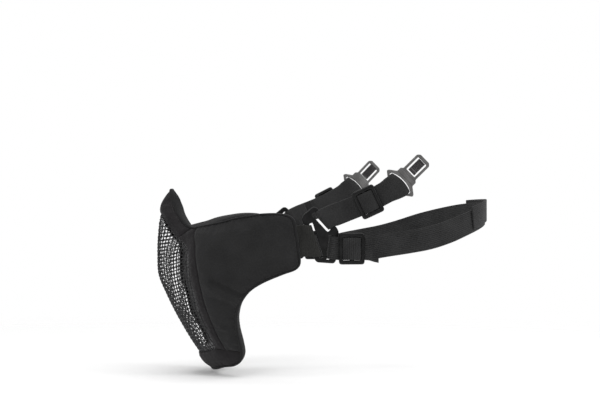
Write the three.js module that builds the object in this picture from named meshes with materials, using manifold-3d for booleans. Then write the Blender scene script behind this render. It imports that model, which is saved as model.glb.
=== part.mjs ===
// Lower-face protective mask: a formed wire-mesh face with a padded fabric frame and cheek wings,
// slotted strap rings, two helmet straps that end in rail clips, and an elastic strap round the back.
// Millimetres. +Z up, the mask faces -Y, the wearer's left is +X. Origin: the lips, on the mid-plane.
import * as THREE from 'three';
import { TessellateModifier } from 'three/addons/modifiers/TessellateModifier.js';
import { mergeVertices } from 'three/addons/utils/BufferGeometryUtils.js';
import Module from 'manifold-3d';

const wasm = await Module();
wasm.setup();

// ---- Driving dimensions -------------------------------------------------------------------------
const CLEAR = 0.3; // gap left between pieces that touch
const FACE_WIDTH = 152; // across the cheek wings
const FACE_DEPTH = 100; // from the face line back to where the wings run straight
const GRID = 7; // cell of the face panels
const ARC = 88; // flat length of one radian of side angle

// Levels of the face form: height, nose line, face line, share of the width, half-width of the nose.
const LEVELS = [
  [-62, 30, 30, 0.75, 30],
  [-50, 17.5, 17.5, 0.763, 30],
  [-35, 5.5, 5.5, 0.79, 30],
  [-10, -9.5, -9.5, 0.855, 32],
  [10, -19.5, -13.5, 0.921, 34],
  [25, -25.5, -15, 0.96, 34],
  [42, -26.5, -14, 0.987, 34],
  [58, -26, -8, 1, 33],
  [75, -23.6, 0, 1, 29],
  [98, -13.5, 6.5, 1, 17.5],
];

// Half outlines on the face form, from the mid-line round the left side: side angle, height.
const MASK_EDGE = [
  [0, 97], [4.4, 92.4], [7.2, 85.7], [11.8, 75.7], [17.6, 67.2], [21.5, 65.2], [26, 66], [34.4, 68],
  [41.7, 70.2], [47.4, 72.8], [55.2, 75], [61.1, 76.3], [68.4, 76.6], [73.8, 75.4], [77.7, 71.7],
  [81.4, 62.9], [85.6, 50.8], [88.2, 40.3], [88.4, 34.6], [86.6, 30.6], [80.4, 26.5], [70.5, 19.2],
  [64.3, 12.6], [59.4, 3.5], [56.6, -6.4], [53.2, -18.9], [49.8, -31.5], [46.5, -40], [41.3, -46.1],
  [34.5, -49.8], [25, -51.4], [11.2, -54], [0, -54.8],
];
const WINDOW_EDGE = [
  [0, 76.4], [3.2, 75.2], [6.9, 69], [10.8, 62.4], [16.1, 55.2], [22.4, 49.6], [26.4, 41.2],
  [28.4, 28], [30.3, 15.8], [32, 6.8], [33.9, -9.7], [32.8, -25.6], [30.6, -33.6], [26, -36.6],
  [14, -39.2], [0, -40.2],
];
const CHEEK_SEAM = [
  [24.2, 70], [24.6, 60], [31, 47.5], [35.6, 26], [37.7, 7], [39.8, -9.4], [38.6, -25.3], [37.6, -40],
];
const NOSE_SEAM = [[10, 46], [21.5, 65.4], [24, 70]];
const CHIN_SEAM = [[26, -34.6], [60, -38.4]];

// Layers of the padded frame, as distances out from the face form.
const WIRE = [-1.6, 0];
const COVER = [0.6, 1.8];
const FOAM = [-6, 0];
const LINING = [-7.7, -6.5];
const WIRE_LAP = 5; // width of mesh trapped under the frame
const BINDING = 1.8; // width of the rolled edge

// Webbing, elastic and hardware.
const STRAP = 1.2; // thickness of webbing and elastic
const TAB_WIDTH = 25.6;
const ELASTIC_WIDTH = 18;
const REAR_WIDTH = 18.6;
const TAB_REACH = 9.6; // wing's rear edge to the ring's front bar
const TAB_LEVEL = 57; // height of the front bar's middle
const TAB_INSERT = 9; // length sewn inside the wing
const POCKET_OPEN = 2; // how far the foam is cut away over the tab, up to the cover
const TAB_SLOPE = -0.32; // lean of the front bar, back for each step up
const RING_THICK = 2.2;
const FRONT_PLAY = 3.59; // spare length of the ring's front slot beside the tab
const UPPER_PLAY = 1.67; // and of its upper slot beside the helmet strap
const REAR_PLAY = 1.05; // and of its rear slot beside the rear strap
const BAR = 2.05; // half-width of a ring bar
const LOOP = 2.9; // radius of a strap's middle line round a ring bar
const SLIDER_THICK = 2.4;
const CLIP_THICK = 2.6;
const CLIP_BAR = 1.4; // half-width of the clip's strap bar
const CLIP_LOOP = 2.8; // radius of the strap's middle line round the clip's bar
const HELMET_RUN = new THREE.Vector3(15, 57, 26.5); // ring's upper bar to the clip's bar
const HELMET_SLIDER_AT = 0.585; // share of the helmet strap's run
const HEAD_HALF = 88; // rear strap's half-width round the helmet
const HEAD_BACK = 145; // rear bar to the back of the strap
const REAR_RISE = 28; // rear bar up to the strap's middle at the back

// ---- Face form ----------------------------------------------------------------------------------
function levelAt(height) {
  const last = LEVELS.length - 1;
  const z = THREE.MathUtils.clamp(height, LEVELS[0][0], LEVELS[last][0]);
  let i = 0;
  while (i < last - 1 && LEVELS[i + 1][0] < z) i += 1;
  const [a, b] = [LEVELS[i], LEVELS[i + 1]];
  const [before, after] = [LEVELS[Math.max(i - 1, 0)], LEVELS[Math.min(i + 2, last)]];
  const span = b[0] - a[0];
  const t = (z - a[0]) / span;
  return [1, 2, 3, 4].map((k) => {
    const slopeA = (b[k] - before[k]) / (b[0] - before[0]);
    const slopeB = (after[k] - a[k]) / (after[0] - a[0]);
    return (2 * t ** 3 - 3 * t ** 2 + 1) * a[k] + (t ** 3 - 2 * t ** 2 + t) * span * slopeA
      + (3 * t ** 2 - 2 * t ** 3) * b[k] + (t ** 3 - t ** 2) * span * slopeB;
  });
}

function surfacePoint(angle, height, noseShare = 1) {
  const [noseLine, faceLine, widthShare, noseHalf] = levelAt(height);
  const turn = Math.min(Math.abs(angle), Math.PI / 2);
  const x = (FACE_WIDTH / 2) * widthShare * Math.sin(turn);
  const ridge = x < noseHalf ? (1 + Math.cos((Math.PI * x) / noseHalf)) / 2 : 0;
  const straight = (Math.abs(angle) - turn) * FACE_DEPTH;
  const nose = noseShare * (faceLine - noseLine) * ridge;
  const y = faceLine + FACE_DEPTH * (1 - Math.cos(turn)) + straight - nose;
  return new THREE.Vector3(Math.sign(angle) * x, y, height);
}

// A point a given distance out from the form. The direction uses a softened nose, so that inner
// layers never fold over in the ridge.
function formPoint(angle, height, offset = 0) {
  const step = 0.01;
  const soft = 0.25;
  const across = surfacePoint(angle + step, height, soft).sub(surfacePoint(angle - step, height, soft));
  const up = surfacePoint(angle, height + 1, soft).sub(surfacePoint(angle, height - 1, soft));
  const out = across.cross(up).normalize();
  return surfacePoint(angle, height).addScaledVector(out, offset);
}

// ---- Solids -------------------------------------------------------------------------------------
function solidOf(geometry) {
  const bare = geometry.clone();
  bare.deleteAttribute('normal');
  bare.deleteAttribute('uv');
  const merged = mergeVertices(bare, 1e-4);
  const vertProperties = new Float32Array(merged.attributes.position.array);
  const triVerts = new Uint32Array(merged.index.array);
  return new wasm.Manifold(new wasm.Mesh({ numProp: 3, vertProperties, triVerts }));
}

function geometryOf(solid) {
  const { vertProperties, triVerts } = solid.getMesh();
  const geometry = new THREE.BufferGeometry();
  geometry.setAttribute('position', new THREE.Float32BufferAttribute(vertProperties, 3));
  geometry.setIndex([...triVerts]);
  return geometry;
}

function mirrored(geometry) {
  const copy = geometry.clone().scale(-1, 1, 1);
  const index = copy.index ? [...copy.index.array] : [...Array(copy.attributes.position.count).keys()];
  for (let i = 0; i < index.length; i += 3) [index[i], index[i + 1]] = [index[i + 1], index[i]];
  copy.setIndex(index);
  copy.deleteAttribute('normal');
  return copy;
}

// ---- Face panels, cut flat and then laid on the form ---------------------------------------------
const THROUGH = [-20, 20]; // reach of a cut through every layer
const flat = ([degrees, height]) => new THREE.Vector2(THREE.MathUtils.degToRad(degrees) * ARC, height);

function closedOutline(half, spacing = 5) {
  const left = half.map(flat);
  const right = left.slice(1, -1).reverse().map((p) => new THREE.Vector2(-p.x, p.y));
  const loop = [...left, ...right].map((p) => new THREE.Vector3(p.x, p.y, 0));
  const curve = new THREE.CatmullRomCurve3(loop, true, 'centripetal');
  const count = 2 * Math.round(curve.getLength() / spacing / 2);
  return curve.getSpacedPoints(count).slice(0, count).map((p) => new THREE.Vector2(p.x, p.y));
}

// Moves a clockwise outline inwards, or outwards for a negative distance.
function inset(outline, distance) {
  return outline.map((p, i) => {
    const before = outline[(i + outline.length - 1) % outline.length];
    const after = outline[(i + 1) % outline.length];
    const [into, onward] = [p.clone().sub(before).normalize(), after.clone().sub(p).normalize()];
    const along = into.clone().add(onward).normalize();
    const mitre = distance / Math.max(along.dot(onward), 0.6);
    return new THREE.Vector2(p.x + along.y * mitre, p.y - along.x * mitre);
  });
}

function prism(outline, [low, high]) {
  const shape = new THREE.Shape(outline);
  const geometry = new THREE.ExtrudeGeometry(shape, { depth: high - low, bevelEnabled: false });
  return solidOf(geometry.translate(0, 0, low));
}

function seamPrism(line) {
  const points = line.map(flat);
  const edge = (side) => points.map((p, i) => {
    const [before, after] = [points[Math.max(i - 1, 0)], points[Math.min(i + 1, points.length - 1)]];
    const along = after.clone().sub(before).normalize();
    return new THREE.Vector2(p.x - along.y * side * CLEAR / 2, p.y + along.x * side * CLEAR / 2);
  });
  const strip = [...edge(1), ...edge(-1).reverse()];
  const twin = strip.map((p) => new THREE.Vector2(-p.x, p.y));
  return prism(strip, THROUGH).add(prism(twin, THROUGH));
}

function sheet([low, high]) {
  const wide = 2 * ARC * THREE.MathUtils.degToRad(92);
  const [bottom, top] = [-60, 102];
  const cells = [Math.round(wide / GRID), Math.round((top - bottom) / GRID)];
  const box = new THREE.BoxGeometry(wide, top - bottom, high - low, ...cells, 1);
  return solidOf(box.translate(0, (top + bottom) / 2, (low + high) / 2));
}

function laid(solid) {
  const fine = mergeVertices(new TessellateModifier(GRID * 1.5, 8).modify(geometryOf(solid)), 1e-4);
  const points = fine.attributes.position;
  for (let i = 0; i < points.count; i += 1) {
    const place = formPoint(points.getX(i) / ARC, points.getY(i), points.getZ(i));
    points.setXYZ(i, place.x, place.y, place.z);
  }
  return fine;
}

const maskEdge = closedOutline(MASK_EDGE);
const windowEdge = closedOutline(WINDOW_EDGE);
const seams = { cheek: seamPrism(CHEEK_SEAM), nose: seamPrism(NOSE_SEAM), chin: seamPrism(CHIN_SEAM) };
const panelEdge = prism(inset(maskEdge, BINDING + 2 * CLEAR), THROUGH);
const openWindow = prism(windowEdge, THROUGH);
const wireSeat = prism(inset(windowEdge, -WIRE_LAP - CLEAR), [WIRE[0] - 2.5 * CLEAR, THROUGH[1]]);

function layer(range, cuts) {
  return cuts.reduce((solid, cut) => solid.subtract(cut), sheet(range).intersect(panelEdge));
}

// Sorts a layer's separate pieces by where their middle lies on the form.
function panels(solid, kinds) {
  const found = {};
  for (const piece of solid.decompose()) {
    const box = piece.boundingBox();
    const middle = [(box.min[0] + box.max[0]) / 2, (box.min[1] + box.max[1]) / 2];
    const side = middle[0] > 1 ? 'left_' : middle[0] < -1 ? 'right_' : '';
    const kind = kinds.find(([, test]) => test(Math.abs(middle[0]), middle[1]))[0];
    found[side + kind] = piece;
  }
  return found;
}

const nearMiddle = (x) => x < 1;
const covers = panels(layer(COVER, [openWindow, seams.cheek, seams.nose, seams.chin]), [
  ['nose_cover', (x, y) => nearMiddle(x) && y > 0],
  ['chin_cover', (x) => nearMiddle(x)],
  ['mesh_border', (x) => x < 60],
  ['cheek_cover', () => true],
]);
const foams = panels(layer(FOAM, [openWindow, wireSeat, seams.nose, seams.chin]), [
  ['nose_foam', (x, y) => nearMiddle(x) && y > 0],
  ['chin_foam', (x) => nearMiddle(x)],
  ['cheek_foam', () => true],
]);
const linings = panels(layer(LINING, [openWindow, seams.nose, seams.chin]), [
  ['nose_lining', (x, y) => nearMiddle(x) && y > 0],
  ['chin_lining', (x) => nearMiddle(x)],
  ['cheek_lining', () => true],
]);
const wireFace = sheet(WIRE).intersect(prism(inset(windowEdge, -WIRE_LAP), THROUGH));
const binding = sheet([LINING[0], COVER[1]]).intersect(prism(maskEdge, THROUGH))
  .subtract(prism(inset(maskEdge, BINDING), THROUGH));

// ---- Placing ------------------------------------------------------------------------------------
const group = new THREE.Group();
const [X, Y, Z] = [new THREE.Vector3(1, 0, 0), new THREE.Vector3(0, 1, 0), new THREE.Vector3(0, 0, 1)];
const point = (x, y, z) => new THREE.Vector3(x, y, z);
const mix = (a, b, t) => a.clone().lerp(b, t);
const ease = (t, low, high) => THREE.MathUtils.smoothstep(t, low, high);
const flip = (v) => point(-v.x, v.y, v.z);

const finish = {
  wire: { color: 0x2b2b2c, roughness: 0.45, metalness: 0.8 },
  frameCloth: { color: 0x37343a, roughness: 0.85, metalness: 0 },
  cheekCloth: { color: 0x2a2a2b, roughness: 0.85, metalness: 0 },
  lining: { color: 0x202021, roughness: 0.9, metalness: 0 },
  foam: { color: 0x3c3c3e, roughness: 0.95, metalness: 0 },
  binding: { color: 0x161617, roughness: 0.8, metalness: 0 },
  webbing: { color: 0x3a3a38, roughness: 0.85, metalness: 0 },
  elastic: { color: 0x252526, roughness: 0.8, metalness: 0 },
  plastic: { color: 0x151516, roughness: 0.4, metalness: 0 },
  clip: { color: 0x4a4648, roughness: 0.5, metalness: 0 },
};

function add(name, geometry, look) {
  const mesh = new THREE.Mesh(geometry, new THREE.MeshStandardMaterial(finish[look]));
  mesh.name = name;
  group.add(mesh);
  return mesh;
}

// The same piece on both sides, the right one as a mirror image.
function addPair(name, geometry, look) {
  add(`left_${name}`, geometry, look);
  add(`right_${name}`, mirrored(geometry), look);
}

// A symmetrical piece on both sides: its own Y runs along one direction and its Z faces outwards.
function placePair(name, geometry, look, { at, along, out }) {
  for (const [side, turn] of [['left', (v) => v.clone()], ['right', flip]]) {
    const mesh = add(`${side}_${name}`, geometry, look);
    const [y, z] = [turn(along).normalize(), turn(out).normalize()];
    const x = y.clone().cross(z);
    mesh.quaternion.setFromRotationMatrix(new THREE.Matrix4().makeBasis(x, y, z));
    mesh.position.copy(turn(at));
  }
}

function plate(shape, thick, bevel = 0.3) {
  const options = { depth: thick - 2 * bevel, bevelThickness: bevel, bevelSize: bevel, bevelOffset: -bevel };
  const geometry = new THREE.ExtrudeGeometry(shape, { ...options, bevelSegments: 1, curveSegments: 5 });
  return geometry.translate(0, 0, bevel - thick / 2);
}

// A flat strap along stations, each with its middle and the direction across the strap.
function ribbon(stations, width) {
  const corners = [];
  stations.forEach(({ at, across }, i) => {
    const before = stations[Math.max(i - 1, 0)].at;
    const after = stations[Math.min(i + 1, stations.length - 1)].at;
    const along = after.clone().sub(before).normalize();
    const side = across.clone().addScaledVector(along, -across.dot(along)).normalize();
    const up = along.clone().cross(side).normalize();
    for (const [a, b] of [[-1, -1], [1, -1], [1, 1], [-1, 1]]) {
      corners.push(at.clone().addScaledVector(side, (a * width) / 2).addScaledVector(up, (b * STRAP) / 2));
    }
  });
  const faces = [0, 2, 1, 0, 3, 2];
  for (let i = 0; i + 1 < stations.length; i += 1) {
    for (let k = 0; k < 4; k += 1) {
      const [a, b] = [i * 4 + k, i * 4 + ((k + 1) % 4)];
      faces.push(a, b, b + 4, a, b + 4, a + 4);
    }
  }
  const end = (stations.length - 1) * 4;
  faces.push(end, end + 1, end + 2, end, end + 2, end + 3);
  const geometry = new THREE.BufferGeometry().setFromPoints(corners);
  geometry.setIndex(faces);
  return geometry;
}

// ---- Wing and strap ring ------------------------------------------------------------------------
const wingRear = formPoint(THREE.MathUtils.degToRad(84), TAB_LEVEL);
const ringX = FACE_WIDTH / 2 + (FOAM[0] + FOAM[1]) / 2;
const ringPoint = (y, z) => point(ringX, wingRear.y + TAB_REACH + y, TAB_LEVEL + z);

// The far end of a slot that runs from one point towards another and takes a strap with some play.
function slotEnd(near, towards, strap, play) {
  const start = new THREE.Vector2(...near);
  const line = new THREE.Vector2(...towards).sub(start).normalize();
  return start.addScaledVector(line, strap + play).toArray();
}

// The ring, seen from the side: origin at the middle of its front bar, Y back and Z up.
const upperTop = slotEnd([15.5, 5.2], [2.1, 19.6], ELASTIC_WIDTH, UPPER_PLAY);
const rearFoot = slotEnd([16.4, 1.4], [14, -18.1], REAR_WIDTH, REAR_PLAY);
const RING_SLOTS = {
  front: { from: slotEnd([9.2, -16.5], [0.3, 11.3], TAB_WIDTH, FRONT_PLAY), to: [9.2, -16.5], width: 3 },
  upper: { from: upperTop, to: [15.5, 5.2], width: 3.6 },
  rear: { from: [16.4, 1.4], to: rearFoot, width: 3 },
};
const fromPoint = ([x, y], corners) => corners.map(([dx, dy]) => [x + dx, y + dy]);
const RING_EDGE = [
  [-7, 15], [-6, 18.2], ...fromPoint(upperTop, [[-0.1, 5], [2.5, 4.8]]), [22, 7.4], [23.4, 4],
  ...fromPoint(rearFoot, [[6.9, -1.3], [5, -3.3], [-8.4, -2.3], [-10.3, -0.5]]),
];
const slotLine = ({ from, to }) => new THREE.Vector2(...to).sub(new THREE.Vector2(...from)).normalize();
const slotMiddle = ({ from, to }) => new THREE.Vector2((from[0] + to[0]) / 2, (from[1] + to[1]) / 2);

function slotHole({ from, to, width }) {
  const line = slotLine({ from, to });
  const side = new THREE.Vector2(-line.y, line.x).multiplyScalar(width / 2);
  const [a, b] = [new THREE.Vector2(...from), new THREE.Vector2(...to)];
  return new THREE.Path([a.clone().add(side), a.clone().sub(side), b.clone().sub(side), b.clone().add(side)]);
}

function ringGeometry() {
  const shape = new THREE.Shape(RING_EDGE.map((p) => new THREE.Vector2(...p)));
  shape.holes = Object.values(RING_SLOTS).map(slotHole);
  return plate(shape, RING_THICK).rotateX(Math.PI / 2).rotateZ(Math.PI / 2);
}
for (const [side, sign] of [['left', 1], ['right', -1]]) {
  const mesh = add(`${side}_ring`, ringGeometry(), 'plastic');
  mesh.position.copy(ringPoint(0, 0)).setX(sign * ringX);
}

// The front tab: webbing folded round the ring's front bar, both ends sewn inside the wing.
function tabGeometry(grow = 0) {
  const drop = 3; // the tab's middle below the ring's
  const bar = wingRear.y + TAB_REACH - TAB_SLOPE * drop + 0.4;
  const [back, wing] = [wingRear.y - TAB_INSERT, wingRear.y - 1];
  const [thin, wide] = [STRAP + 0.1 + grow, LOOP + STRAP / 2 + grow];
  const shape = new THREE.Shape();
  shape.moveTo(back - grow, -thin).lineTo(wing, -thin);
  shape.lineTo(bar - 3.2, -wide).lineTo(bar, -wide);
  shape.absarc(bar, 0, wide, -Math.PI / 2, Math.PI / 2, false);
  shape.lineTo(bar - 3.2, wide).lineTo(wing, thin).lineTo(back - grow, thin);
  const eye = LOOP - STRAP / 2;
  const hole = new THREE.Path();
  hole.moveTo(wing + 1.4, 0).lineTo(bar - 3.2, eye).lineTo(bar, eye);
  hole.absarc(bar, 0, eye, Math.PI / 2, -Math.PI / 2, true);
  hole.lineTo(bar - 3.2, -eye);
  if (grow === 0) shape.holes.push(hole);
  const depth = TAB_WIDTH + 2 * grow;
  const options = { depth, bevelEnabled: false, curveSegments: 8, steps: 3 };
  const geometry = new THREE.ExtrudeGeometry(shape, options);
  geometry.translate(0, 0, -depth / 2);
  const places = geometry.attributes.position;
  for (let i = 0; i < places.count; i += 1) {
    const [y, x, z] = [places.getX(i), places.getY(i), places.getZ(i)];
    const lean = TAB_SLOPE * z * ease(y, wing + 0.5, bar - 3.2);
    places.setXYZ(i, ringX - x, y + lean, z + TAB_LEVEL - drop);
  }
  geometry.deleteAttribute('normal');
  return geometry;
}
addPair('tab', tabGeometry(), 'webbing');
const tabPocket = solidOf(tabGeometry(CLEAR));
const bothPockets = (pocket) => pocket.add(solidOf(mirrored(geometryOf(pocket))));
const tabPockets = bothPockets(tabPocket);
const foamPockets = bothPockets(tabPocket.add(tabPocket.translate([POCKET_OPEN, 0, 0])));

const cloth = { cover: 'frameCloth', border: 'frameCloth', foam: 'foam', lining: 'lining' };
// Each layer is cut to clear the tab and the layers laid over it.
const laidOver = [];
for (const [name, solid] of Object.entries({ ...covers, ...foams, ...linings })) {
  const look = name.endsWith('cheek_cover') ? 'cheekCloth' : cloth[name.split('_').pop()];
  let piece = solidOf(laid(solid)).subtract(name.endsWith('foam') ? foamPockets : tabPockets);
  for (const other of laidOver) piece = piece.subtract(other);
  laidOver.push(piece);
  add(name, geometryOf(piece), look);
}
add('wire_face', laid(wireFace), 'wire');
add('edge_binding', geometryOf(solidOf(laid(binding)).subtract(tabPockets)), 'binding');

// ---- Bars the straps turn round -----------------------------------------------------------------
function barOf(slot, side) {
  const line = slotLine(slot);
  const away = new THREE.Vector2(-line.y, line.x).multiplyScalar(side);
  const middle = slotMiddle(slot).addScaledVector(away, slot.width / 2 + BAR);
  return { at: ringPoint(middle.x, middle.y), bar: point(0, line.x, line.y), away: point(0, away.x, away.y) };
}
const upperBar = barOf(RING_SLOTS.upper, 1);
const rearBar = barOf(RING_SLOTS.rear, 1);

// Half a turn round a bar, from its inner face to its outer face or back.
function turnRound({ at, bar, away }, out, radius, shift, steps = 6) {
  const centre = at.clone().addScaledVector(away, shift);
  return Array.from({ length: steps + 1 }, (_, i) => {
    const angle = (Math.PI * i) / steps;
    const place = centre.clone().addScaledVector(out, -radius * Math.cos(angle));
    return { at: place.addScaledVector(away, -radius * Math.sin(angle)), across: bar };
  });
}

// ---- Helmet strap -------------------------------------------------------------------------------
const clipBar = upperBar.at.clone().add(HELMET_RUN);
const strapMiddle = mix(upperBar.at, clipBar, HELMET_SLIDER_AT).add(point(0, 0.4, -1.9));
const helmetLine = new THREE.CatmullRomCurve3([upperBar.at, strapMiddle, clipBar]);
const helmetLength = helmetLine.getLength();
const strapOut = point(0, HELMET_RUN.z, -HELMET_RUN.y).cross(HELMET_RUN).normalize();
const clipAlong = point(4, 21, 21).normalize();
const clipOut = point(0, 1, -1).cross(clipAlong).normalize();
const clipAcross = clipOut.clone().cross(clipAlong);
const SINGLE = -0.8; // the main layer's place either side of the strap's middle line

function helmetStation(share, level) {
  const along = helmetLine.getTangentAt(share);
  const square = along.clone().cross(strapOut).normalize();
  const near = 1 - ease(share, 0, 0.16);
  const far = ease(share, 0.76, 1);
  const out = mix(mix(strapOut, X, near), clipOut, far).normalize();
  let across = mix(square, upperBar.bar.clone().multiplyScalar(Math.sign(square.dot(upperBar.bar))), near);
  across = mix(across, clipAcross.clone().multiplyScalar(Math.sign(square.dot(clipAcross))), far);
  return { at: helmetLine.getPointAt(share).addScaledVector(out, level), across };
}

// How far a layer stands off the strap's middle line: at the ring, between the bars, at the clip.
function helmetLevel(share, ringEnd, clipEnd, between) {
  const near = THREE.MathUtils.lerp(ringEnd, between, ease(share, 0.12, 0.38));
  return THREE.MathUtils.lerp(near, clipEnd, ease(share, 0.74, 1));
}
function helmetStrap() {
  const stations = [];
  for (const share of [0.2, 0.15, 0.1, 0.05]) {
    stations.push(helmetStation(share, helmetLevel(share, -LOOP, 0, 2 * SINGLE - STRAP + 0.4)));
  }
  stations.push(...turnRound({ ...upperBar, bar: helmetStation(0, 0).across }, X, LOOP, -0.4));
  for (let i = 1; i < 20; i += 1) {
    const share = 0.03 + (0.94 * i) / 20;
    stations.push(helmetStation(share, helmetLevel(share, LOOP, -CLIP_LOOP, SINGLE)));
  }
  const clipTurn = { at: clipBar, bar: helmetStation(1, 0).across, away: clipAlong.clone().negate() };
  stations.push(...turnRound(clipTurn, clipOut, CLIP_LOOP, 0));
  for (let i = 1; i < 10; i += 1) {
    const share = 0.97 - ((0.97 - HELMET_SLIDER_AT) * i) / 9;
    stations.push(helmetStation(share, helmetLevel(share, 0, CLIP_LOOP, -SINGLE)));
  }
  return ribbon(stations, ELASTIC_WIDTH);
}
addPair('helmet_strap', helmetStrap(), 'elastic');

// ---- Sliders ------------------------------------------------------------------------------------
const SLIDER = { endBar: 2.9, sideBar: 3.4, centreBar: 2.8, slotPlay: 0.4 };

function sliderShape(length, width) {
  const round = 1.6;
  const [l, w] = [length / 2, width / 2];
  const shape = new THREE.Shape();
  shape.moveTo(-w + round, -l).lineTo(w - round, -l).quadraticCurveTo(w, -l, w, -l + round);
  shape.lineTo(w, l - round).quadraticCurveTo(w, l, w - round, l).lineTo(-w + round, l);
  shape.quadraticCurveTo(-w, l, -w, l - round).lineTo(-w, -l + round);
  shape.quadraticCurveTo(-w, -l, -w + round, -l);
  const [low, high, side] = [SLIDER.centreBar / 2, l - SLIDER.endBar, w - SLIDER.sideBar];
  for (const sign of [1, -1]) {
    const rows = [[-side, low], [side, low], [side, high], [-side, high]];
    shape.holes.push(new THREE.Path(rows.map(([x, y]) => new THREE.Vector2(x, sign * y))));
  }
  return shape;
}

// The stretch of strap threaded over the slider's centre bar.
function threadGeometry(length, width) {
  const reach = length / 2 - SLIDER.endBar - SLIDER.slotPlay;
  const [top, foot] = [SLIDER_THICK / 2 + CLEAR, -0.7];
  const flatHalf = SLIDER.centreBar / 2 + 0.9;
  const arch = [[-reach, foot], [-flatHalf, top + STRAP], [flatHalf, top + STRAP], [reach, foot],
    [reach - 1.7, foot], [flatHalf - 0.4, top], [0.4 - flatHalf, top], [1.7 - reach, foot]];
  const shape = new THREE.Shape(arch.map(([x, y]) => new THREE.Vector2(x, y)));
  const depth = width - 2 * SLIDER.sideBar - 2 * SLIDER.slotPlay;
  const geometry = new THREE.ExtrudeGeometry(shape, { depth, bevelEnabled: false });
  geometry.translate(0, 0, -depth / 2);
  return geometry.applyMatrix4(new THREE.Matrix4().makeBasis(Y, Z, X));
}

function addSlider(kind, length, width, place) {
  placePair(`${kind}_slider`, plate(sliderShape(length, width), SLIDER_THICK, 0.5), 'plastic', place);
  placePair(`${kind}_slider_thread`, threadGeometry(length, width), 'elastic', place);
}
const sliderLift = -SINGLE + STRAP / 2 + CLEAR + SLIDER_THICK / 2;
const helmetAlong = helmetLine.getTangentAt(HELMET_SLIDER_AT);
addSlider('helmet', 19, 24, {
  at: helmetLine.getPointAt(HELMET_SLIDER_AT).addScaledVector(strapOut, sliderLift),
  along: helmetAlong,
  out: strapOut.clone().addScaledVector(helmetAlong, -strapOut.dot(helmetAlong)),
});

// ---- Rear strap, one piece from ring to ring ----------------------------------------------------
const REAR = { flatFrom: 12.5, flatTo: 27.5, tailEnd: 37, sliderAt: 14.4, level: -0.6 };
const outerLayer = ringX + LOOP;
const innerLayer = outerLayer - STRAP - 0.4;
const onRear = (x, y, z) => point(x, rearBar.at.y + y, rearBar.at.z + z);
const rearHalf = [
  onRear(innerLayer, REAR.flatFrom, REAR.level), onRear(innerLayer, REAR.flatTo, REAR.level),
  onRear(0.92 * HEAD_HALF, 42, 2), onRear(0.985 * HEAD_HALF, 60, 5), onRear(HEAD_HALF, 76, 8),
  onRear(0.96 * HEAD_HALF, 92, 12.5), onRear(0.865 * HEAD_HALF, 109, 18.5),
  onRear(0.67 * HEAD_HALF, 0.862 * HEAD_BACK, 0.84 * REAR_RISE),
  onRear(0.4 * HEAD_HALF, 0.945 * HEAD_BACK, 0.96 * REAR_RISE),
];
const rearPath = new THREE.CatmullRomCurve3(
  [...rearHalf, onRear(0, HEAD_BACK, REAR_RISE), ...rearHalf.map(flip).reverse()], false, 'centripetal');

function rearStation(share, out = 0, up = 0) {
  const along = rearPath.getTangentAt(share);
  const across = Z.clone().addScaledVector(along, -along.z).normalize();
  const away = along.clone().cross(across);
  return { at: rearPath.getPointAt(share).addScaledVector(away, out).addScaledVector(across, up), across };
}
function rearEnd() {
  const tail = [REAR.tailEnd, 33, 29, 24, 18, 12, 7, 3].map((y) => {
    const droop = 1.6 * ease(y, 26, REAR.tailEnd) + 0.4 * REAR.level * (1 - ease(y, 0, 10));
    return { at: onRear(outerLayer, y, REAR.level - droop), across: Z };
  });
  const turn = turnRound({ ...rearBar, bar: rearBar.bar.clone().negate() }, X.clone().negate(), LOOP, -0.4);
  const inner = [2.5, 4.5, 6.5, 8.5, 10.5].map((y) => {
    const x = THREE.MathUtils.lerp(ringX - LOOP, innerLayer, ease(y, 3.5, 12));
    return { at: onRear(x, y, REAR.level * ease(y, 0, 10)), across: Z };
  });
  return [...tail, ...turn, ...inner];
}
function rearStrap() {
  const left = rearEnd();
  const steps = 56;
  const run = Array.from({ length: steps + 1 }, (_, i) => rearStation(i / steps));
  const right = left.map(({ at, across }) => ({ at: flip(at), across: flip(across) })).reverse();
  return ribbon([...left, ...run, ...right], REAR_WIDTH);
}
add('rear_strap', rearStrap(), 'elastic');

// The strap's long end, lying over its outside.
const OVERLAP = { from: 0.3, to: 0.58, up: 3, steps: 18 };
const overlapStations = Array.from({ length: OVERLAP.steps + 1 }, (_, i) => {
  const share = THREE.MathUtils.lerp(OVERLAP.from, OVERLAP.to, i / OVERLAP.steps);
  return rearStation(share, STRAP + CLEAR, OVERLAP.up);
});
add('rear_strap_overlap', ribbon(overlapStations, REAR_WIDTH), 'elastic');
addSlider('rear', 21.2, 25.5, {
  at: onRear(outerLayer + STRAP / 2 + CLEAR + SLIDER_THICK / 2, REAR.sliderAt, REAR.level),
  along: Y,
  out: X,
});

// ---- Rail clips ---------------------------------------------------------------------------------
// Drawn with Y along the clip from the middle of its strap bar to the tip.
const CLIP = { horn: 15, shoulder: 8.7, neck: 6.9, tip: 31, slot: 1.6, rail: 2, tongueFrom: 14.6 };
const TONGUE = { root: 28.2, half: CLIP.neck - CLIP.rail - CLIP.slot };

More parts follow.
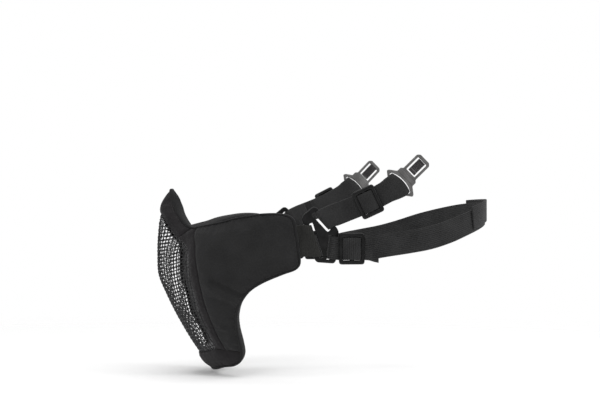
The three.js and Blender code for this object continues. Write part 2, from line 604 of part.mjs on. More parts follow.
function clipShape() {
  const half = [[0, -CLIP_BAR], [10.6, -CLIP_BAR + 0.6], [CLIP.horn, 2.6], [CLIP.horn - 0.6, 4.2],
    [CLIP.shoulder + 1.4, 7.4], [CLIP.shoulder, 8.4], [CLIP.shoulder, 12.2], [CLIP.neck, 13.6],
    [CLIP.neck, CLIP.tip - 2], [CLIP.neck - 2, CLIP.tip]];
  const edge = [...half, ...half.slice(1).reverse().map(([x, y]) => [-x, y])];
  const shape = new THREE.Shape(edge.map(([x, y]) => new THREE.Vector2(x, y)));
  const sill = CLIP_BAR + 0.4;
  const opening = [[-11.4, sill], [11.4, sill], [11.2, 3.9], [7.5, 5.6], [3, 6.6], [-3, 6.6], [-7.5, 5.6],
    [-11.2, 3.9]];
  shape.holes.push(new THREE.Path(opening.map(([x, y]) => new THREE.Vector2(x, y))));
  const inner = CLIP.neck - CLIP.rail;
  const { tongueFrom } = CLIP;
  const bay = [[-inner, tongueFrom], [inner, tongueFrom], [inner, TONGUE.root], [-inner, TONGUE.root]];
  shape.holes.push(new THREE.Path(bay.map(([x, y]) => new THREE.Vector2(x, y))));
  return shape;
}

// The latch tongue hangs from the tip end of the plate and has a catch across its free end.
function tongueGeometry() {
  const [from, to] = [CLIP.tongueFrom + 0.9, TONGUE.root - CLEAR];
  const [low, high] = [-CLIP_THICK / 2 + 0.3, CLIP_THICK / 2 - 0.3];
  const catchTop = high + 0.9;
  const side = [[from, low], [to, low], [to, high], [from + 3.2, high], [from + 2.2, catchTop],
    [from, catchTop]];
  const shape = new THREE.Shape(side.map(([x, y]) => new THREE.Vector2(x, y)));
  const geometry = new THREE.ExtrudeGeometry(shape, { depth: 2 * TONGUE.half, bevelEnabled: false });
  geometry.translate(0, 0, -TONGUE.half);
  return geometry.applyMatrix4(new THREE.Matrix4().makeBasis(Y, Z, X));
}
const clipPlace = { at: clipBar, along: clipAlong, out: clipOut };
placePair('rail_clip', plate(clipShape(), CLIP_THICK), 'clip', clipPlace);
placePair('clip_latch', tongueGeometry(), 'clip', clipPlace);

export default group;
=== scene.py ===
import math

import bpy
import bmesh
import numpy as np
from mathutils import Matrix, Vector
from mathutils.bvhtree import BVHTree
from mathutils.geometry import delaunay_2d_cdt


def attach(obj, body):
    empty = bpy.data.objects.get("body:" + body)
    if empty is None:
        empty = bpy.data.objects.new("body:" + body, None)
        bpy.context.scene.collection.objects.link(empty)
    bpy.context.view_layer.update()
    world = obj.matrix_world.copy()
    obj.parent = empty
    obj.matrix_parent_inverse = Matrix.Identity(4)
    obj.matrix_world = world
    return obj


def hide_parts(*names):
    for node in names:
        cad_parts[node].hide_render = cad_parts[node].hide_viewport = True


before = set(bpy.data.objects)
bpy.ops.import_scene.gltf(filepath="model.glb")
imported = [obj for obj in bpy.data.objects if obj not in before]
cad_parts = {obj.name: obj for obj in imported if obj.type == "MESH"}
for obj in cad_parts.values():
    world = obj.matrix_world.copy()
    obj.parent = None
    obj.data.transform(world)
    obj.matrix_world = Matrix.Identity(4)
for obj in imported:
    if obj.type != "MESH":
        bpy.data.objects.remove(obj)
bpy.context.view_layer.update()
scene = bpy.context.scene
MM = 0.001

# ---- Camera --------------------------------------------------------------------------------------
# The wearer's left side from a step in front of square, with a long lens.
CAMERA_TURN, CAMERA_REACH = 80.0, 1.5
CAMERA_AIM = Vector((0.0, 0.095, 0.079))
LENS = 105.88
turn = math.radians(CAMERA_TURN)
away = Vector((math.sin(turn), -math.cos(turn), 0.0))
camera = bpy.data.objects.new("camera", bpy.data.cameras.new("camera"))
scene.collection.objects.link(camera)
camera.location = CAMERA_AIM + away * CAMERA_REACH
camera.rotation_mode = "QUATERNION"
camera.rotation_quaternion = (-away).to_track_quat("-Z", "Y")
camera.data.lens, camera.data.sensor_width = LENS, 36.0
camera.data.clip_start, camera.data.clip_end = 0.05, 50.0
scene.camera = camera

# ---- Wire face -----------------------------------------------------------------------------------
# Square-woven steel wire about 1 mm thick, pressed to the shape of nose, mouth and chin, then
# coated matt black. Its cut edge is trapped under the padded frame all the way round.
FACE_HALF, FACE_DEPTH, ARC = 76.0, 100.0, 88.0
# height, nose line, face line, share of the width, half-width of the nose
LEVELS = np.array([
    [-62, 30, 30, 0.75, 30], [-50, 17.5, 17.5, 0.763, 30], [-35, 5.5, 5.5, 0.79, 30],
    [-10, -9.5, -9.5, 0.855, 32], [10, -19.5, -13.5, 0.921, 34], [25, -25.5, -15, 0.96, 34],
    [42, -26.5, -14, 0.987, 34], [58, -26, -8, 1, 33], [75, -23.6, 0, 1, 29], [98, -13.5, 6.5, 1, 17.5],
])
NORMAL_NOSE = 0.25  # share of the nose ridge that the surface's normals follow
TIP_FROM, TIP_TO, TIP_THIN = 82.0, 97.5, 0.78  # where the padding thins towards the nose's tip
# Half outline of the mesh's window: side angle in degrees, height.
WINDOW_EDGE = [
    [0, 76.4], [3.2, 75.2], [6.9, 69], [10.8, 62.4], [16.1, 55.2], [22.4, 49.6], [26.4, 41.2],
    [28.4, 28], [30.3, 15.8], [32, 6.8], [33.9, -9.7], [32.8, -25.6], [30.6, -33.6], [26, -36.6],
    [14, -39.2], [0, -40.2],
]
COLUMN_PITCH, ROW_PITCH = 3.3, 2.95
COLUMN_FAN, ROW_LIFT = 0.16, 0.0034
WIRE_RADIUS, CRIMP, WIRE_LAP, WIRE_DEPTH = 0.46, 0.36, 4.6, -0.75
WIRE_FOOT, FAN_FROM, FAN_TO = -50.0, 41.0, -10.0  # heights: lowest row, and where the columns fan
WIRE_COLOUR = (0.020, 0.020, 0.021, 1)


def hermite(a, b, slope_a, slope_b, t):
    return ((2 * t**3 - 3 * t**2 + 1) * a + (t**3 - 2 * t**2 + t) * slope_a
            + (3 * t**2 - 2 * t**3) * b + (t**3 - t**2) * slope_b)


def levels_at(height):
    z = np.clip(height, LEVELS[0, 0], LEVELS[-1, 0])
    i = np.searchsorted(LEVELS[1:-1, 0], z)
    a, b = LEVELS[i], LEVELS[i + 1]
    before, after = LEVELS[np.maximum(i - 1, 0)], LEVELS[np.minimum(i + 2, len(LEVELS) - 1)]
    span = (b - a)[:, :1]
    slope_a = span * (b - before) / (b - before)[:, :1]
    slope_b = span * (after - a) / (after - a)[:, :1]
    return hermite(a, b, slope_a, slope_b, (z[:, None] - a[:, :1]) / span)[:, 1:].T


def form_surface(angle, height, nose_share=1.0):
    nose_line, face_line, width_share, nose_half = levels_at(height)
    bent = np.minimum(np.abs(angle), math.pi / 2)
    x = FACE_HALF * width_share * np.sin(bent)
    ridge = np.where(x < nose_half, (1 + np.cos(math.pi * x / nose_half)) / 2, 0)
    straight = (np.abs(angle) - bent) * FACE_DEPTH
    y = face_line + FACE_DEPTH * (1 - np.cos(bent)) + straight - nose_share * (face_line - nose_line) * ridge
    return np.stack([np.sign(angle) * x, y, height], 1)


def lay(flat, offset):
    """Flat points in mm, with their distance out from the face form, as places in metres."""
    angle, height = flat[:, 0] / ARC, flat[:, 1]
    t = np.clip((height - TIP_FROM) / (TIP_TO - TIP_FROM), 0, 1)
    offset = np.where(np.less(offset, 0), offset * (1 - TIP_THIN * t * t * (3 - 2 * t)), offset)
    across = form_surface(angle + 0.01, height, NORMAL_NOSE) - form_surface(angle - 0.01, height, NORMAL_NOSE)
    up = form_surface(angle, height + 1, NORMAL_NOSE) - form_surface(angle, height - 1, NORMAL_NOSE)
    out = np.cross(across, up)
    out /= np.linalg.norm(out, axis=1)[:, None]
    return (form_surface(angle, height) + out * offset[:, None]) * MM


def run_along(line):
    """Distance along a line at each of its points."""
    return np.concatenate([[0], np.cumsum(np.linalg.norm(np.diff(line, axis=0), axis=1))])


def smooth_line(points, spacing, closed=False):
    """Evenly spaced points on a smooth curve through the given ones."""
    points = np.asarray(points, float)
    if closed:
        ring = np.vstack([points[-1:], points, points[:2]])
    else:
        ring = np.vstack([2 * points[:1] - points[1:2], points, 2 * points[-1:] - points[-2:-1]])
    t = np.linspace(0, 1, 24, endpoint=False)[:, None]
    dense = []
    for a, b, c, d in zip(ring, ring[1:], ring[2:], ring[3:]):
        ab, bc, cd = (max(np.linalg.norm(q - p), 1e-9) ** 0.5 for p, q in ((a, b), (b, c), (c, d)))
        start = bc * ((b - a) / ab - (c - a) / (ab + bc) + (c - b) / bc)
        end = bc * ((c - b) / bc - (d - b) / (bc + cd) + (d - c) / cd)
        dense.append(hermite(b, c, start, end, t))
    dense = np.vstack([*dense, points[:1] if closed else points[-1:]])
    run = run_along(dense)
    at = np.linspace(0, run[-1], max(2, round(run[-1] / spacing)) + 1)
    line = np.stack([np.interp(at, run, dense[:, k]) for k in range(dense.shape[1])], 1)
    return line[:-1] if closed else line


def flat_line(line):
    return np.array([[math.radians(degrees) * ARC, height] for degrees, height in line])


def both_halves(line):
    half = flat_line(line)
    return np.vstack([half, half[1:-1][::-1] * [-1, 1]])


def distance_to(points, line, closed=True):
    """Distance from each flat point to a line of flat points."""
    ends = np.roll(line, -1, 0) if closed else line[1:]
    starts = line if closed else line[:-1]
    best = np.full(len(points), 1e9)
    for a, b in zip(starts, ends):
        run = b - a
        t = np.clip(((points - a) @ run) / max(run @ run, 1e-12), 0, 1)
        best = np.minimum(best, np.linalg.norm(points - a - t[:, None] * run, axis=1))
    return best


def inside(points, loop):
    x, y = points[:, 0], points[:, 1]
    odd = np.zeros(len(points), bool)
    for a, b in zip(loop, np.roll(loop, -1, 0)):
        crosses = (a[1] > y) != (b[1] > y)
        odd ^= crosses & (x < a[0] + (y - a[1]) * (b[0] - a[0]) / (b[1] - a[1] + 1e-12))
    return odd


CUT = 4.0  # a piece's own map: units for each metre of cloth


def make_piece(name, points, faces, cut=None, edges=()):
    """A mesh object in metres, with its own map of the flat cloth where cut gives it in mm."""
    mesh = bpy.data.meshes.new(name)
    mesh.from_pydata(np.asarray(points, float).tolist(), list(edges), [list(map(int, f)) for f in faces])
    mesh.polygons.foreach_set("use_smooth", [True] * len(mesh.polygons))
    if cut is not None:
        corner = np.zeros(len(mesh.loops), int)
        mesh.loops.foreach_get("vertex_index", corner)
        layer = mesh.uv_layers.new(name="cut")
        layer.data.foreach_set("uv", (np.asarray(cut, float)[corner] * MM * CUT).ravel())
    piece = bpy.data.objects.new(name, mesh)
    scene.collection.objects.link(piece)
    return piece


def settle(piece):
    """Turns a piece and its modifiers into one plain mesh."""
    bpy.context.view_layer.update()
    ready = piece.evaluated_get(bpy.context.evaluated_depsgraph_get())
    mesh = bpy.data.meshes.new_from_object(ready)
    piece.modifiers.clear()
    piece.data = mesh
    return piece


def place_node(tree, kind, sockets=None, **settings):
    """Adds a node. Each socket gets a value or a link from another node's output."""
    node = tree.nodes.new(kind)
    for name, value in settings.items():
        setattr(node, name, value)
    for socket, source in (sockets or {}).items():
        if isinstance(source, bpy.types.NodeSocket):
            tree.links.new(source, node.inputs[socket])
        else:
            node.inputs[socket].default_value = source
    return node


def sums(tree, operation, a, b=0.0):
    return place_node(tree, "ShaderNodeMath", {0: a, 1: b}, operation=operation).outputs[0]


def fresh_material(name, colour, rough, metal=0.0):
    material = bpy.data.materials.new(name)
    material.use_nodes = True
    bsdf = material.node_tree.nodes["Principled BSDF"]
    bsdf.inputs["Base Color"].default_value = colour
    bsdf.inputs["Roughness"].default_value = rough
    bsdf.inputs["Metallic"].default_value = metal
    return material, material.node_tree, bsdf


def add_sockets(tree, way, kind, *names):
    for name in names:
        tree.interface.new_socket(name, in_out=way, socket_type=f"NodeSocket{kind}")


def noise(tree, where, scale, detail):
    return place_node(
        tree, "ShaderNodeTexNoise", {"Vector": where, "Scale": scale, "Detail": detail}).outputs[0]


def spread_out(tree, value, low, high, first=0.0, last=1.0):
    return place_node(
        tree, "ShaderNodeMapRange", {0: value, 1: low, 2: high, 3: first, 4: last}).outputs[0]


def grain_group():
    """Scuffs and fine grain that run through the object: a mask of wear and a height of grain."""
    tree = bpy.data.node_groups.new("grain", "ShaderNodeTree")
    add_sockets(tree, "INPUT", "Vector", "Place")
    add_sockets(tree, "INPUT", "Float", "Grain", "Wear")
    add_sockets(tree, "OUTPUT", "Float", "Scuff", "Height")
    given = tree.nodes.new("NodeGroupInput").outputs
    fine = noise(tree, given["Place"], given["Grain"], 3.0)
    scuff = spread_out(tree, noise(tree, given["Place"], given["Wear"], 5.0), 0.42, 0.72)
    place_node(tree, "NodeGroupOutput", {"Scuff": scuff, "Height": fine})
    return tree


grain = grain_group()
WEAR_SCALE, GRAIN_DEPTH, SCUFF_ROUGH = 140.0, 0.0002, 0.14


def hard_finish(name, colour, worn, rough, metal, grain_size, bump, specular=0.5):
    """Moulded plastic or painted steel: grain in the surface and paler, rougher scuffs."""
    material, tree, bsdf = fresh_material(name, colour, rough, metal)
    place = tree.nodes.new("ShaderNodeTexCoord").outputs["Object"]
    surface = place_node(tree, "ShaderNodeGroup", node_tree=grain)
    tree.links.new(place, surface.inputs["Place"])
    surface.inputs["Grain"].default_value = 1 / grain_size
    surface.inputs["Wear"].default_value = WEAR_SCALE
    scuff = surface.outputs["Scuff"]
    mixed = place_node(tree, "ShaderNodeMix", {0: scuff, 6: colour, 7: worn}, data_type="RGBA")
    tree.links.new(mixed.outputs[2], bsdf.inputs["Base Color"])
    spread = spread_out(tree, scuff, 0.0, 1.0, rough, rough + SCUFF_ROUGH)
    tree.links.new(spread, bsdf.inputs["Roughness"])
    raised = place_node(
        tree, "ShaderNodeBump",
        {"Height": surface.outputs["Height"], "Strength": bump, "Distance": GRAIN_DEPTH})
    tree.links.new(raised.outputs[0], bsdf.inputs["Normal"])
    bsdf.inputs["Specular IOR Level"].default_value = specular
    return material


wire_paint = hard_finish(
    "coated_wire", WIRE_COLOUR, (0.055, 0.055, 0.057, 1), 0.38, 0.35, 0.0005, 0.35)


def woven_wire_tree():
    tree = bpy.data.node_groups.new("woven_wire", "GeometryNodeTree")
    add_sockets(tree, "INPUT", "Geometry", "Form")
    add_sockets(tree, "INPUT", "Float", "Column pitch", "Row pitch", "Wire radius", "Crimp",
                "Column fan", "Row lift", "Depth")
    add_sockets(tree, "INPUT", "Int", "Columns each side", "Rows")
    add_sockets(tree, "INPUT", "Material", "Finish")
    add_sockets(tree, "OUTPUT", "Geometry", "Wires")
    given = tree.nodes.new("NodeGroupInput").outputs
    column, row = given["Column pitch"], given["Row pitch"]
    spread = sums(tree, "MULTIPLY", given["Columns each side"], column)
    tall = sums(tree, "MULTIPLY", given["Rows"], row)
    top = sums(tree, "ADD", tall, WIRE_FOOT)
    twice = sums(tree, "MULTIPLY", given["Columns each side"], 2.0)

    def vector(x, y):
        return place_node(tree, "ShaderNodeCombineXYZ", {0: x, 1: y}).outputs[0]

    left = sums(tree, "MULTIPLY", spread, -1.0)
    wires = []
    for start, end, first, step, count, points, sign in (
        (vector(0.0, WIRE_FOOT), vector(0.0, top), vector(left, 0.0), vector(column, 0.0),
         sums(tree, "ADD", twice, 1.0), sums(tree, "MULTIPLY", given["Rows"], 4.0), 1.0),
        (vector(left, 0.0), vector(spread, 0.0), vector(0.0, WIRE_FOOT), vector(0.0, row),
         sums(tree, "ADD", given["Rows"], 1.0), sums(tree, "MULTIPLY", twice, 4.0), -1.0),
    ):
        one = place_node(tree, "GeometryNodeCurvePrimitiveLine", {0: start, 1: end})
        points = sums(tree, "ADD", points, 1.0)
        one = place_node(tree, "GeometryNodeResampleCurve", {0: one.outputs[0], 2: points})
        places = place_node(tree, "GeometryNodeMeshLine", {0: count, 2: first, 3: step})
        many = place_node(tree, "GeometryNodeInstanceOnPoints", {0: places.outputs[0], 2: one.outputs[0]})
        many = place_node(tree, "GeometryNodeRealizeInstances", {0: many.outputs[0]})
        here = tree.nodes.new("GeometryNodeInputPosition").outputs[0]
        at = place_node(tree, "ShaderNodeSeparateXYZ", {0: here})
        u, v = at.outputs[0], at.outputs[1]
        # The columns fan out towards the chin and the rows lift towards the cheeks.
        drop = spread_out(tree, v, FAN_FROM, FAN_TO)
        fanned = sums(tree, "ADD", sums(tree, "MULTIPLY", drop, given["Column fan"]), 1.0)
        x = sums(tree, "MULTIPLY", u, fanned)
        y = sums(tree, "ADD", v, sums(tree, "MULTIPLY", sums(tree, "MULTIPLY", u, u), given["Row lift"]))
        scaled = [sums(tree, "MULTIPLY", value, MM * CUT) for value in (x, y)]
        spot = vector(*scaled)
        cut = place_node(
            tree, "GeometryNodeInputNamedAttribute", {0: "cut"}, data_type="FLOAT_VECTOR").outputs[0]

        def sampled(value, kind):
            return place_node(
                tree, "GeometryNodeSampleUVSurface",
                {0: given["Form"], 1: value, 2: cut, 3: spot}, data_type=kind)

        place = sampled(tree.nodes.new("GeometryNodeInputPosition").outputs[0], "FLOAT_VECTOR").outputs[0]
        out = sampled(tree.nodes.new("GeometryNodeInputNormal").outputs[0], "FLOAT_VECTOR").outputs[0]
        reach = place_node(
            tree, "GeometryNodeInputNamedAttribute", {0: "reach"}, data_type="FLOAT").outputs[0]
        past = sampled(reach, "FLOAT")
        beyond = sums(tree, "LESS_THAN", past.outputs[0], 0.0)
        kept = place_node(tree, "GeometryNodeDeleteGeometry", {0: many.outputs[0], 1: beyond}, domain="POINT")
        risen = sums(tree, "DIVIDE", sums(tree, "SUBTRACT", v, WIRE_FOOT), row)
        phase = sums(tree, "ADD", sums(tree, "DIVIDE", u, column), risen)
        wave = sums(tree, "COSINE", sums(tree, "MULTIPLY", phase, math.pi))
        crimped = sums(tree, "MULTIPLY", wave, sums(tree, "MULTIPLY", given["Crimp"], sign))
        level = sums(tree, "ADD", crimped, given["Depth"])
        rise = sums(tree, "MULTIPLY", level, MM)
        lift = place_node(tree, "ShaderNodeVectorMath", {0: out, "Scale": rise}, operation="SCALE")
        moved = place_node(tree, "ShaderNodeVectorMath", {0: place, 1: lift.outputs[0]})
        formed = place_node(tree, "GeometryNodeSetPosition", {0: kept.outputs[0], 2: moved.outputs[0]})
        wires.append(formed.outputs[0])
    joined = tree.nodes.new("GeometryNodeJoinGeometry")
    for wire in wires:
        tree.links.new(wire, joined.inputs[0])
    ring = place_node(
        tree, "GeometryNodeCurvePrimitiveCircle",
        {0: 6, "Radius": sums(tree, "MULTIPLY", given["Wire radius"], MM)})
    solid = place_node(
        tree, "GeometryNodeCurveToMesh", {0: joined.outputs[0], 1: ring.outputs[0], "Fill Caps": True})
    real = place_node(tree, "GeometryNodeRealizeInstances", {0: solid.outputs[0]})
    painted = place_node(tree, "GeometryNodeSetMaterial", {0: real.outputs[0], "Material": given["Finish"]})
    place_node(tree, "NodeGroupOutput", {0: painted.outputs[0]})
    return tree


def run_tree(piece, tree, values):
    """Gives a piece a node tree, sets its named inputs by their identifiers, and makes it plain."""
    modifier = piece.modifiers.new(tree.name, "NODES")
    modifier.node_group = tree
    for item in tree.interface.items_tree:
        if item.item_type == "SOCKET" and item.in_out == "INPUT" and item.name in values:
            modifier[item.identifier] = values[item.name]
    settle(piece)
    piece.data.polygons.foreach_set("use_smooth", [True] * len(piece.data.polygons))
    return piece


window_edge = smooth_line(both_halves(WINDOW_EDGE), 2.4, closed=True)
columns, rows = np.meshgrid(np.arange(-78, 79, 1.5), np.arange(-57, 96, 1.5))
sheet_flat = np.stack([columns.ravel(), rows.ravel()], 1)
wide = columns.shape[1]
corners = [i + j * wide for j in range(columns.shape[0] - 1) for i in range(wide - 1)]
wire_face = make_piece(
    "wire_mesh", lay(sheet_flat, 0), [(c, c + 1, c + 1 + wide, c + wide) for c in corners], sheet_flat)
in_window = np.where(inside(sheet_flat, window_edge), 1, -1) * distance_to(sheet_flat, window_edge)
reach = wire_face.data.attributes.new("reach", "FLOAT", "POINT")
reach.data.foreach_set("value", (in_window + WIRE_LAP).astype(np.float32))
run_tree(wire_face, woven_wire_tree(), {
    "Column pitch": COLUMN_PITCH, "Row pitch": ROW_PITCH, "Wire radius": WIRE_RADIUS, "Crimp": CRIMP,
    "Column fan": COLUMN_FAN, "Row lift": ROW_LIFT, "Depth": WIRE_DEPTH, "Columns each side": 18,
    "Rows": 46, "Finish": wire_paint,
})
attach(wire_face, "mask")
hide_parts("wire_face")

# ---- Padded frame --------------------------------------------------------------------------------
# Woven nylon over foam, sewn in panels: nose, chin, a border down each side of the mesh and a
# cheek wing each side. The seams pull the cloth down to the foam, which fills it out between.
MASK_EDGE = [
    [0, 97], [4.4, 92.4], [7.2, 85.7], [11.8, 75.7], [17.6, 67.2], [21.5, 65.2], [26, 66], [34.4, 68],
    [41.7, 70.2], [47.4, 72.8], [55.2, 75], [61.1, 76.3], [68.4, 76.6], [73.8, 75.4], [77.7, 71.7],
    [81.4, 62.9], [85.6, 50.8], [88.2, 40.3], [88.4, 34.6], [86.6, 30.6], [80.4, 26.5], [70.5, 19.2],
    [64.3, 12.6], [59.4, 3.5], [56.6, -6.4], [53.2, -18.9], [49.8, -31.5], [46.5, -40], [41.3, -46.1],
    [34.5, -49.8], [25, -51.4], [11.2, -54], [0, -54.8],
]
CHEEK_SEAM = flat_line([
    [24.2, 70], [24.6, 60], [31, 47.5], [35.6, 26], [37.7, 7], [39.8, -9.4], [38.6, -25.3], [37.6, -40]])
NOSE_SEAM = flat_line([[10, 46], [21.5, 65.4], [24, 70]])
CHIN_SEAM = flat_line([[26, -34.6], [60, -38.4]])
DENT = flat_line([[45.5, 21], [50, 18.2], [54.1, 14.9], [59.1, 10.9]])
THREAD_STEP = 2.3  # spacing of the cloth's points
COVER_TUCK, LINING_TUCK = 1.0, 2.4  # how far cover and lining stop short of the bound edge
COVER_FOOT, LINING_TOP = 0.3, -2.2
# Level at the seams, then how far and over what distance each panel rises from them.
COVER_REST, COVER_RISE, COVER_RUN = 0.75, 1.45, 3.2
LINING_REST, LINING_RISE, LINING_RUN = -6.9, 1.2, 3.5
DENT_DEPTH, DENT_WIDE, FOLD_RISE, FOLD_WIDE = 2.4, 2.8, 1.5, 3.8  # crease in each cheek, and its fold
SIM_SCALE, SIM_CAP, SIM_STEPS = 10.0, 0.9, 18
SEAM_GAP = 0.14  # each panel stops this far short of the seam, so the seam stays open as a groove
FRAME_COLOUR = (0.0098, 0.0088, 0.0096, 1)
CHEEK_COLOUR = (0.0092, 0.0092, 0.0094, 1)
LINING_COLOUR = (0.12, 0.12, 0.122, 1)
YARN_SCALE, FLECK_SCALE, FADE_SCALE = 420.0, 240.0, 14.0
# The thread height share is painted light on raised threads and ribs and painted shade in the hollows between
# them; fade and fleck are random tone of the fibre.
FADE_SHARE, THREAD_SHADE_SHARE, FLECK_SHARE = 0.45, 0.25, 0.4  # how far each one lightens the cloth


def cloth_group():
    """A weave that follows the cut of the cloth: its height, and masks of faded fibre and flecks."""
    tree = bpy.data.node_groups.new("weave", "ShaderNodeTree")
    add_sockets(tree, "INPUT", "Vector", "Cut")
    add_sockets(tree, "INPUT", "Float", "Along", "Across", "Slant", "Rib", "Fade size")
    add_sockets(tree, "OUTPUT", "Float", "Height", "Fade", "Fleck")
    given = tree.nodes.new("NodeGroupInput").outputs
    at = place_node(tree, "ShaderNodeSeparateXYZ", {0: given["Cut"]})
    along = sums(tree, "DIVIDE", at.outputs[0], given["Along"])
    across = sums(tree, "DIVIDE", at.outputs[1], given["Across"])
    leaned = sums(tree, "MULTIPLY", across, given["Slant"])
    waves = [
        sums(tree, "SINE", sums(tree, "MULTIPLY", value, 2 * math.pi))
        for value in (sums(tree, "ADD", along, leaned), across)]
    yarn = noise(tree, given["Cut"], YARN_SCALE, 2.0)
    plain = sums(tree, "SUBTRACT", 1.0, given["Rib"])
    crossed = sums(tree, "MULTIPLY", sums(tree, "MULTIPLY", waves[0], waves[1]), plain)
    ribbed = sums(tree, "MULTIPLY", waves[1], given["Rib"])
    height = sums(tree, "ADD", sums(tree, "ADD", crossed, ribbed), yarn)
    fade = spread_out(tree, noise(tree, given["Cut"], given["Fade size"], 4.0), 0.35, 0.7)
    fleck = spread_out(tree, noise(tree, given["Cut"], FLECK_SCALE, 1.0), 0.36, 0.66)
    place_node(tree, "NodeGroupOutput", {"Height": height, "Fade": fade, "Fleck": fleck})
    return tree


weave = cloth_group()


def cloth_finish(name, colour, faded, along, across, slant, depth, rough=0.78, sheen=0.25, rib=0.0):
    """Woven cloth: along and across are the size of its threads in mm."""
    material, tree, bsdf = fresh_material(name, colour, rough)
    threads = place_node(tree, "ShaderNodeGroup", node_tree=weave)
    tree.links.new(place_node(tree, "ShaderNodeUVMap", uv_map="cut").outputs[0], threads.inputs["Cut"])
    threads.inputs["Along"].default_value = along * MM * CUT
    threads.inputs["Across"].default_value = across * MM * CUT
    threads.inputs["Slant"].default_value = slant
    threads.inputs["Rib"].default_value = rib
    threads.inputs["Fade size"].default_value = FADE_SCALE
    # Base colour: random faded fibre and flecks, plus painted light on the raised threads and ribs and
    # painted shade in the hollows between them.
    shade = sums(tree, "ADD", sums(tree, "MULTIPLY", threads.outputs["Fade"], FADE_SHARE),
                 sums(tree, "MULTIPLY", threads.outputs["Height"], THREAD_SHADE_SHARE))
    shade = sums(tree, "ADD", shade, sums(tree, "MULTIPLY", threads.outputs["Fleck"], FLECK_SHARE))
    mixed = place_node(tree, "ShaderNodeMix", {0: shade, 6: colour, 7: faded}, data_type="RGBA")
    tree.links.new(mixed.outputs[2], bsdf.inputs["Base Color"])
    raised = place_node(
        tree, "ShaderNodeBump",
        {"Height": threads.outputs["Height"], "Strength": 0.7, "Distance": depth * MM})
    tree.links.new(raised.outputs[0], bsdf.inputs["Normal"])
    bsdf.inputs["Specular IOR Level"].default_value = 0.2
    bsdf.inputs["Sheen Weight"].default_value = sheen
    bsdf.inputs["Sheen Roughness"].default_value = 0.45
    bsdf.inputs["Sheen Tint"].default_value = (0.5, 0.49, 0.5, 1)
    return material


frame_cloth = cloth_finish(
    "frame_cloth", FRAME_COLOUR, (0.020, 0.0183, 0.0197, 1), 0.7, 0.7, 0.0, 0.12, 0.78, 0.16)
cheek_cloth = cloth_finish(
    "cheek_cloth", CHEEK_COLOUR, (0.022, 0.022, 0.0224, 1), 0.9, 0.9, 0.5, 0.14, 0.78, 0.15)
lining_cloth = cloth_finish(
    "lining_cloth", LINING_COLOUR, (0.17, 0.17, 0.173, 1), 1.3, 1.3, 1.0, 0.16, 0.9, 0.3)


def inset_loop(loop, distance):
    """Moves a clockwise loop inwards."""
    into = loop - np.roll(loop, 1, 0)
    onward = np.roll(loop, -1, 0) - loop
    into /= np.linalg.norm(into, axis=1)[:, None]
    onward /= np.linalg.norm(onward, axis=1)[:, None]
    along = into + onward
    along /= np.linalg.norm(along, axis=1)[:, None]
    mitre = distance / np.maximum((along * onward).sum(1), 0.6)
    return loop + np.stack([along[:, 1], -along[:, 0]], 1) * mitre[:, None]


mask_edge = smooth_line(both_halves(MASK_EDGE), 2.4, closed=True)
cover_edge, lining_edge = inset_loop(mask_edge, COVER_TUCK), inset_loop(mask_edge, LINING_TUCK)


def panel_points(lines):
    """Evenly spread points over the frame, joined into triangles that keep to the given lines."""
    x, y = np.meshgrid(np.arange(-60, 61) * THREAD_STEP, np.arange(-30, 55) * THREAD_STEP * 0.866)
    x = x + (np.arange(-30, 55) % 2)[:, None] * THREAD_STEP / 2
    spots = np.stack([x.ravel(), y.ravel()], 1)
    spots = spots[inside(spots, lines[0][0]) & ~inside(spots, window_edge)]
    for line, closed in lines:
        spots = spots[distance_to(spots, line, closed) > 0.6 * THREAD_STEP]
    edges, points = [], list(spots)
    for line, closed in lines:
        first = len(points)
        points.extend(line)
        edges += [(first + i, first + i + 1) for i in range(len(line) - 1)]
        if closed:
            edges.append((first + len(line) - 1, first))
    made = delaunay_2d_cdt([Vector(p) for p in points], edges, [], 0, 1e-4)
    return np.array([list(v) for v in made[0]]), np.array([list(f) for f in made[2] if len(f) == 3])


cheek_seam, nose_seam = smooth_line(CHEEK_SEAM, THREAD_STEP), smooth_line(NOSE_SEAM, THREAD_STEP)


def seam_pair(line):
    even = smooth_line(line, THREAD_STEP)
    return [(even, False), (even * [-1, 1], False)]


def panel_of(middles, cloth_edge, with_border):
    """The name of the panel that each flat point lies in, or an empty name outside the frame."""
    x, y = np.abs(middles[:, 0]), middles[:, 1]
    side = np.where(middles[:, 0] > 0, "left_", "right_").astype(object)
    name = side + "cheek"
    if with_border:
        seam = np.interp(-y, -cheek_seam[:, 1], cheek_seam[:, 0])
        name[x < seam] = (side + "border")[x < seam]
    nose = (y > np.interp(x, nose_seam[:, 0], nose_seam[:, 1])) & (x < CHEEK_SEAM[0, 0]) & (y > 40)
    chin = y < np.interp(x, CHIN_SEAM[:, 0], CHIN_SEAM[:, 1])
    name[nose] = "nose"
    name[chin] = "chin"
    name[~inside(middles, cloth_edge) | inside(middles, window_edge)] = ""
    return name


def part_of(points, faces, chosen):
    used = np.unique(faces[chosen])
    back = np.full(len(points), -1)
    back[used] = np.arange(len(used))
    return points[used], back[faces[chosen]]


def rim_of(faces):
    """A panel's boundary edges, in the direction of its faces."""
    edges = {}
    for face in faces:
        for a, b in zip(face, np.roll(face, -1)):
            edges[(int(a), int(b))] = True
    return [(a, b) for a, b in edges if (b, a) not in edges]


def counter_clockwise(points, faces):
    a, b, c = (points[faces[:, k]] for k in range(3))
    turned = (b - a)[:, 0] * (c - a)[:, 1] - (b - a)[:, 1] * (c - a)[:, 0] < 0
    faces[turned] = faces[turned][:, ::-1]
    return faces


def crown(distance, height, radius):
    return height * (1 - np.exp(-((distance / radius) ** 1.4)))


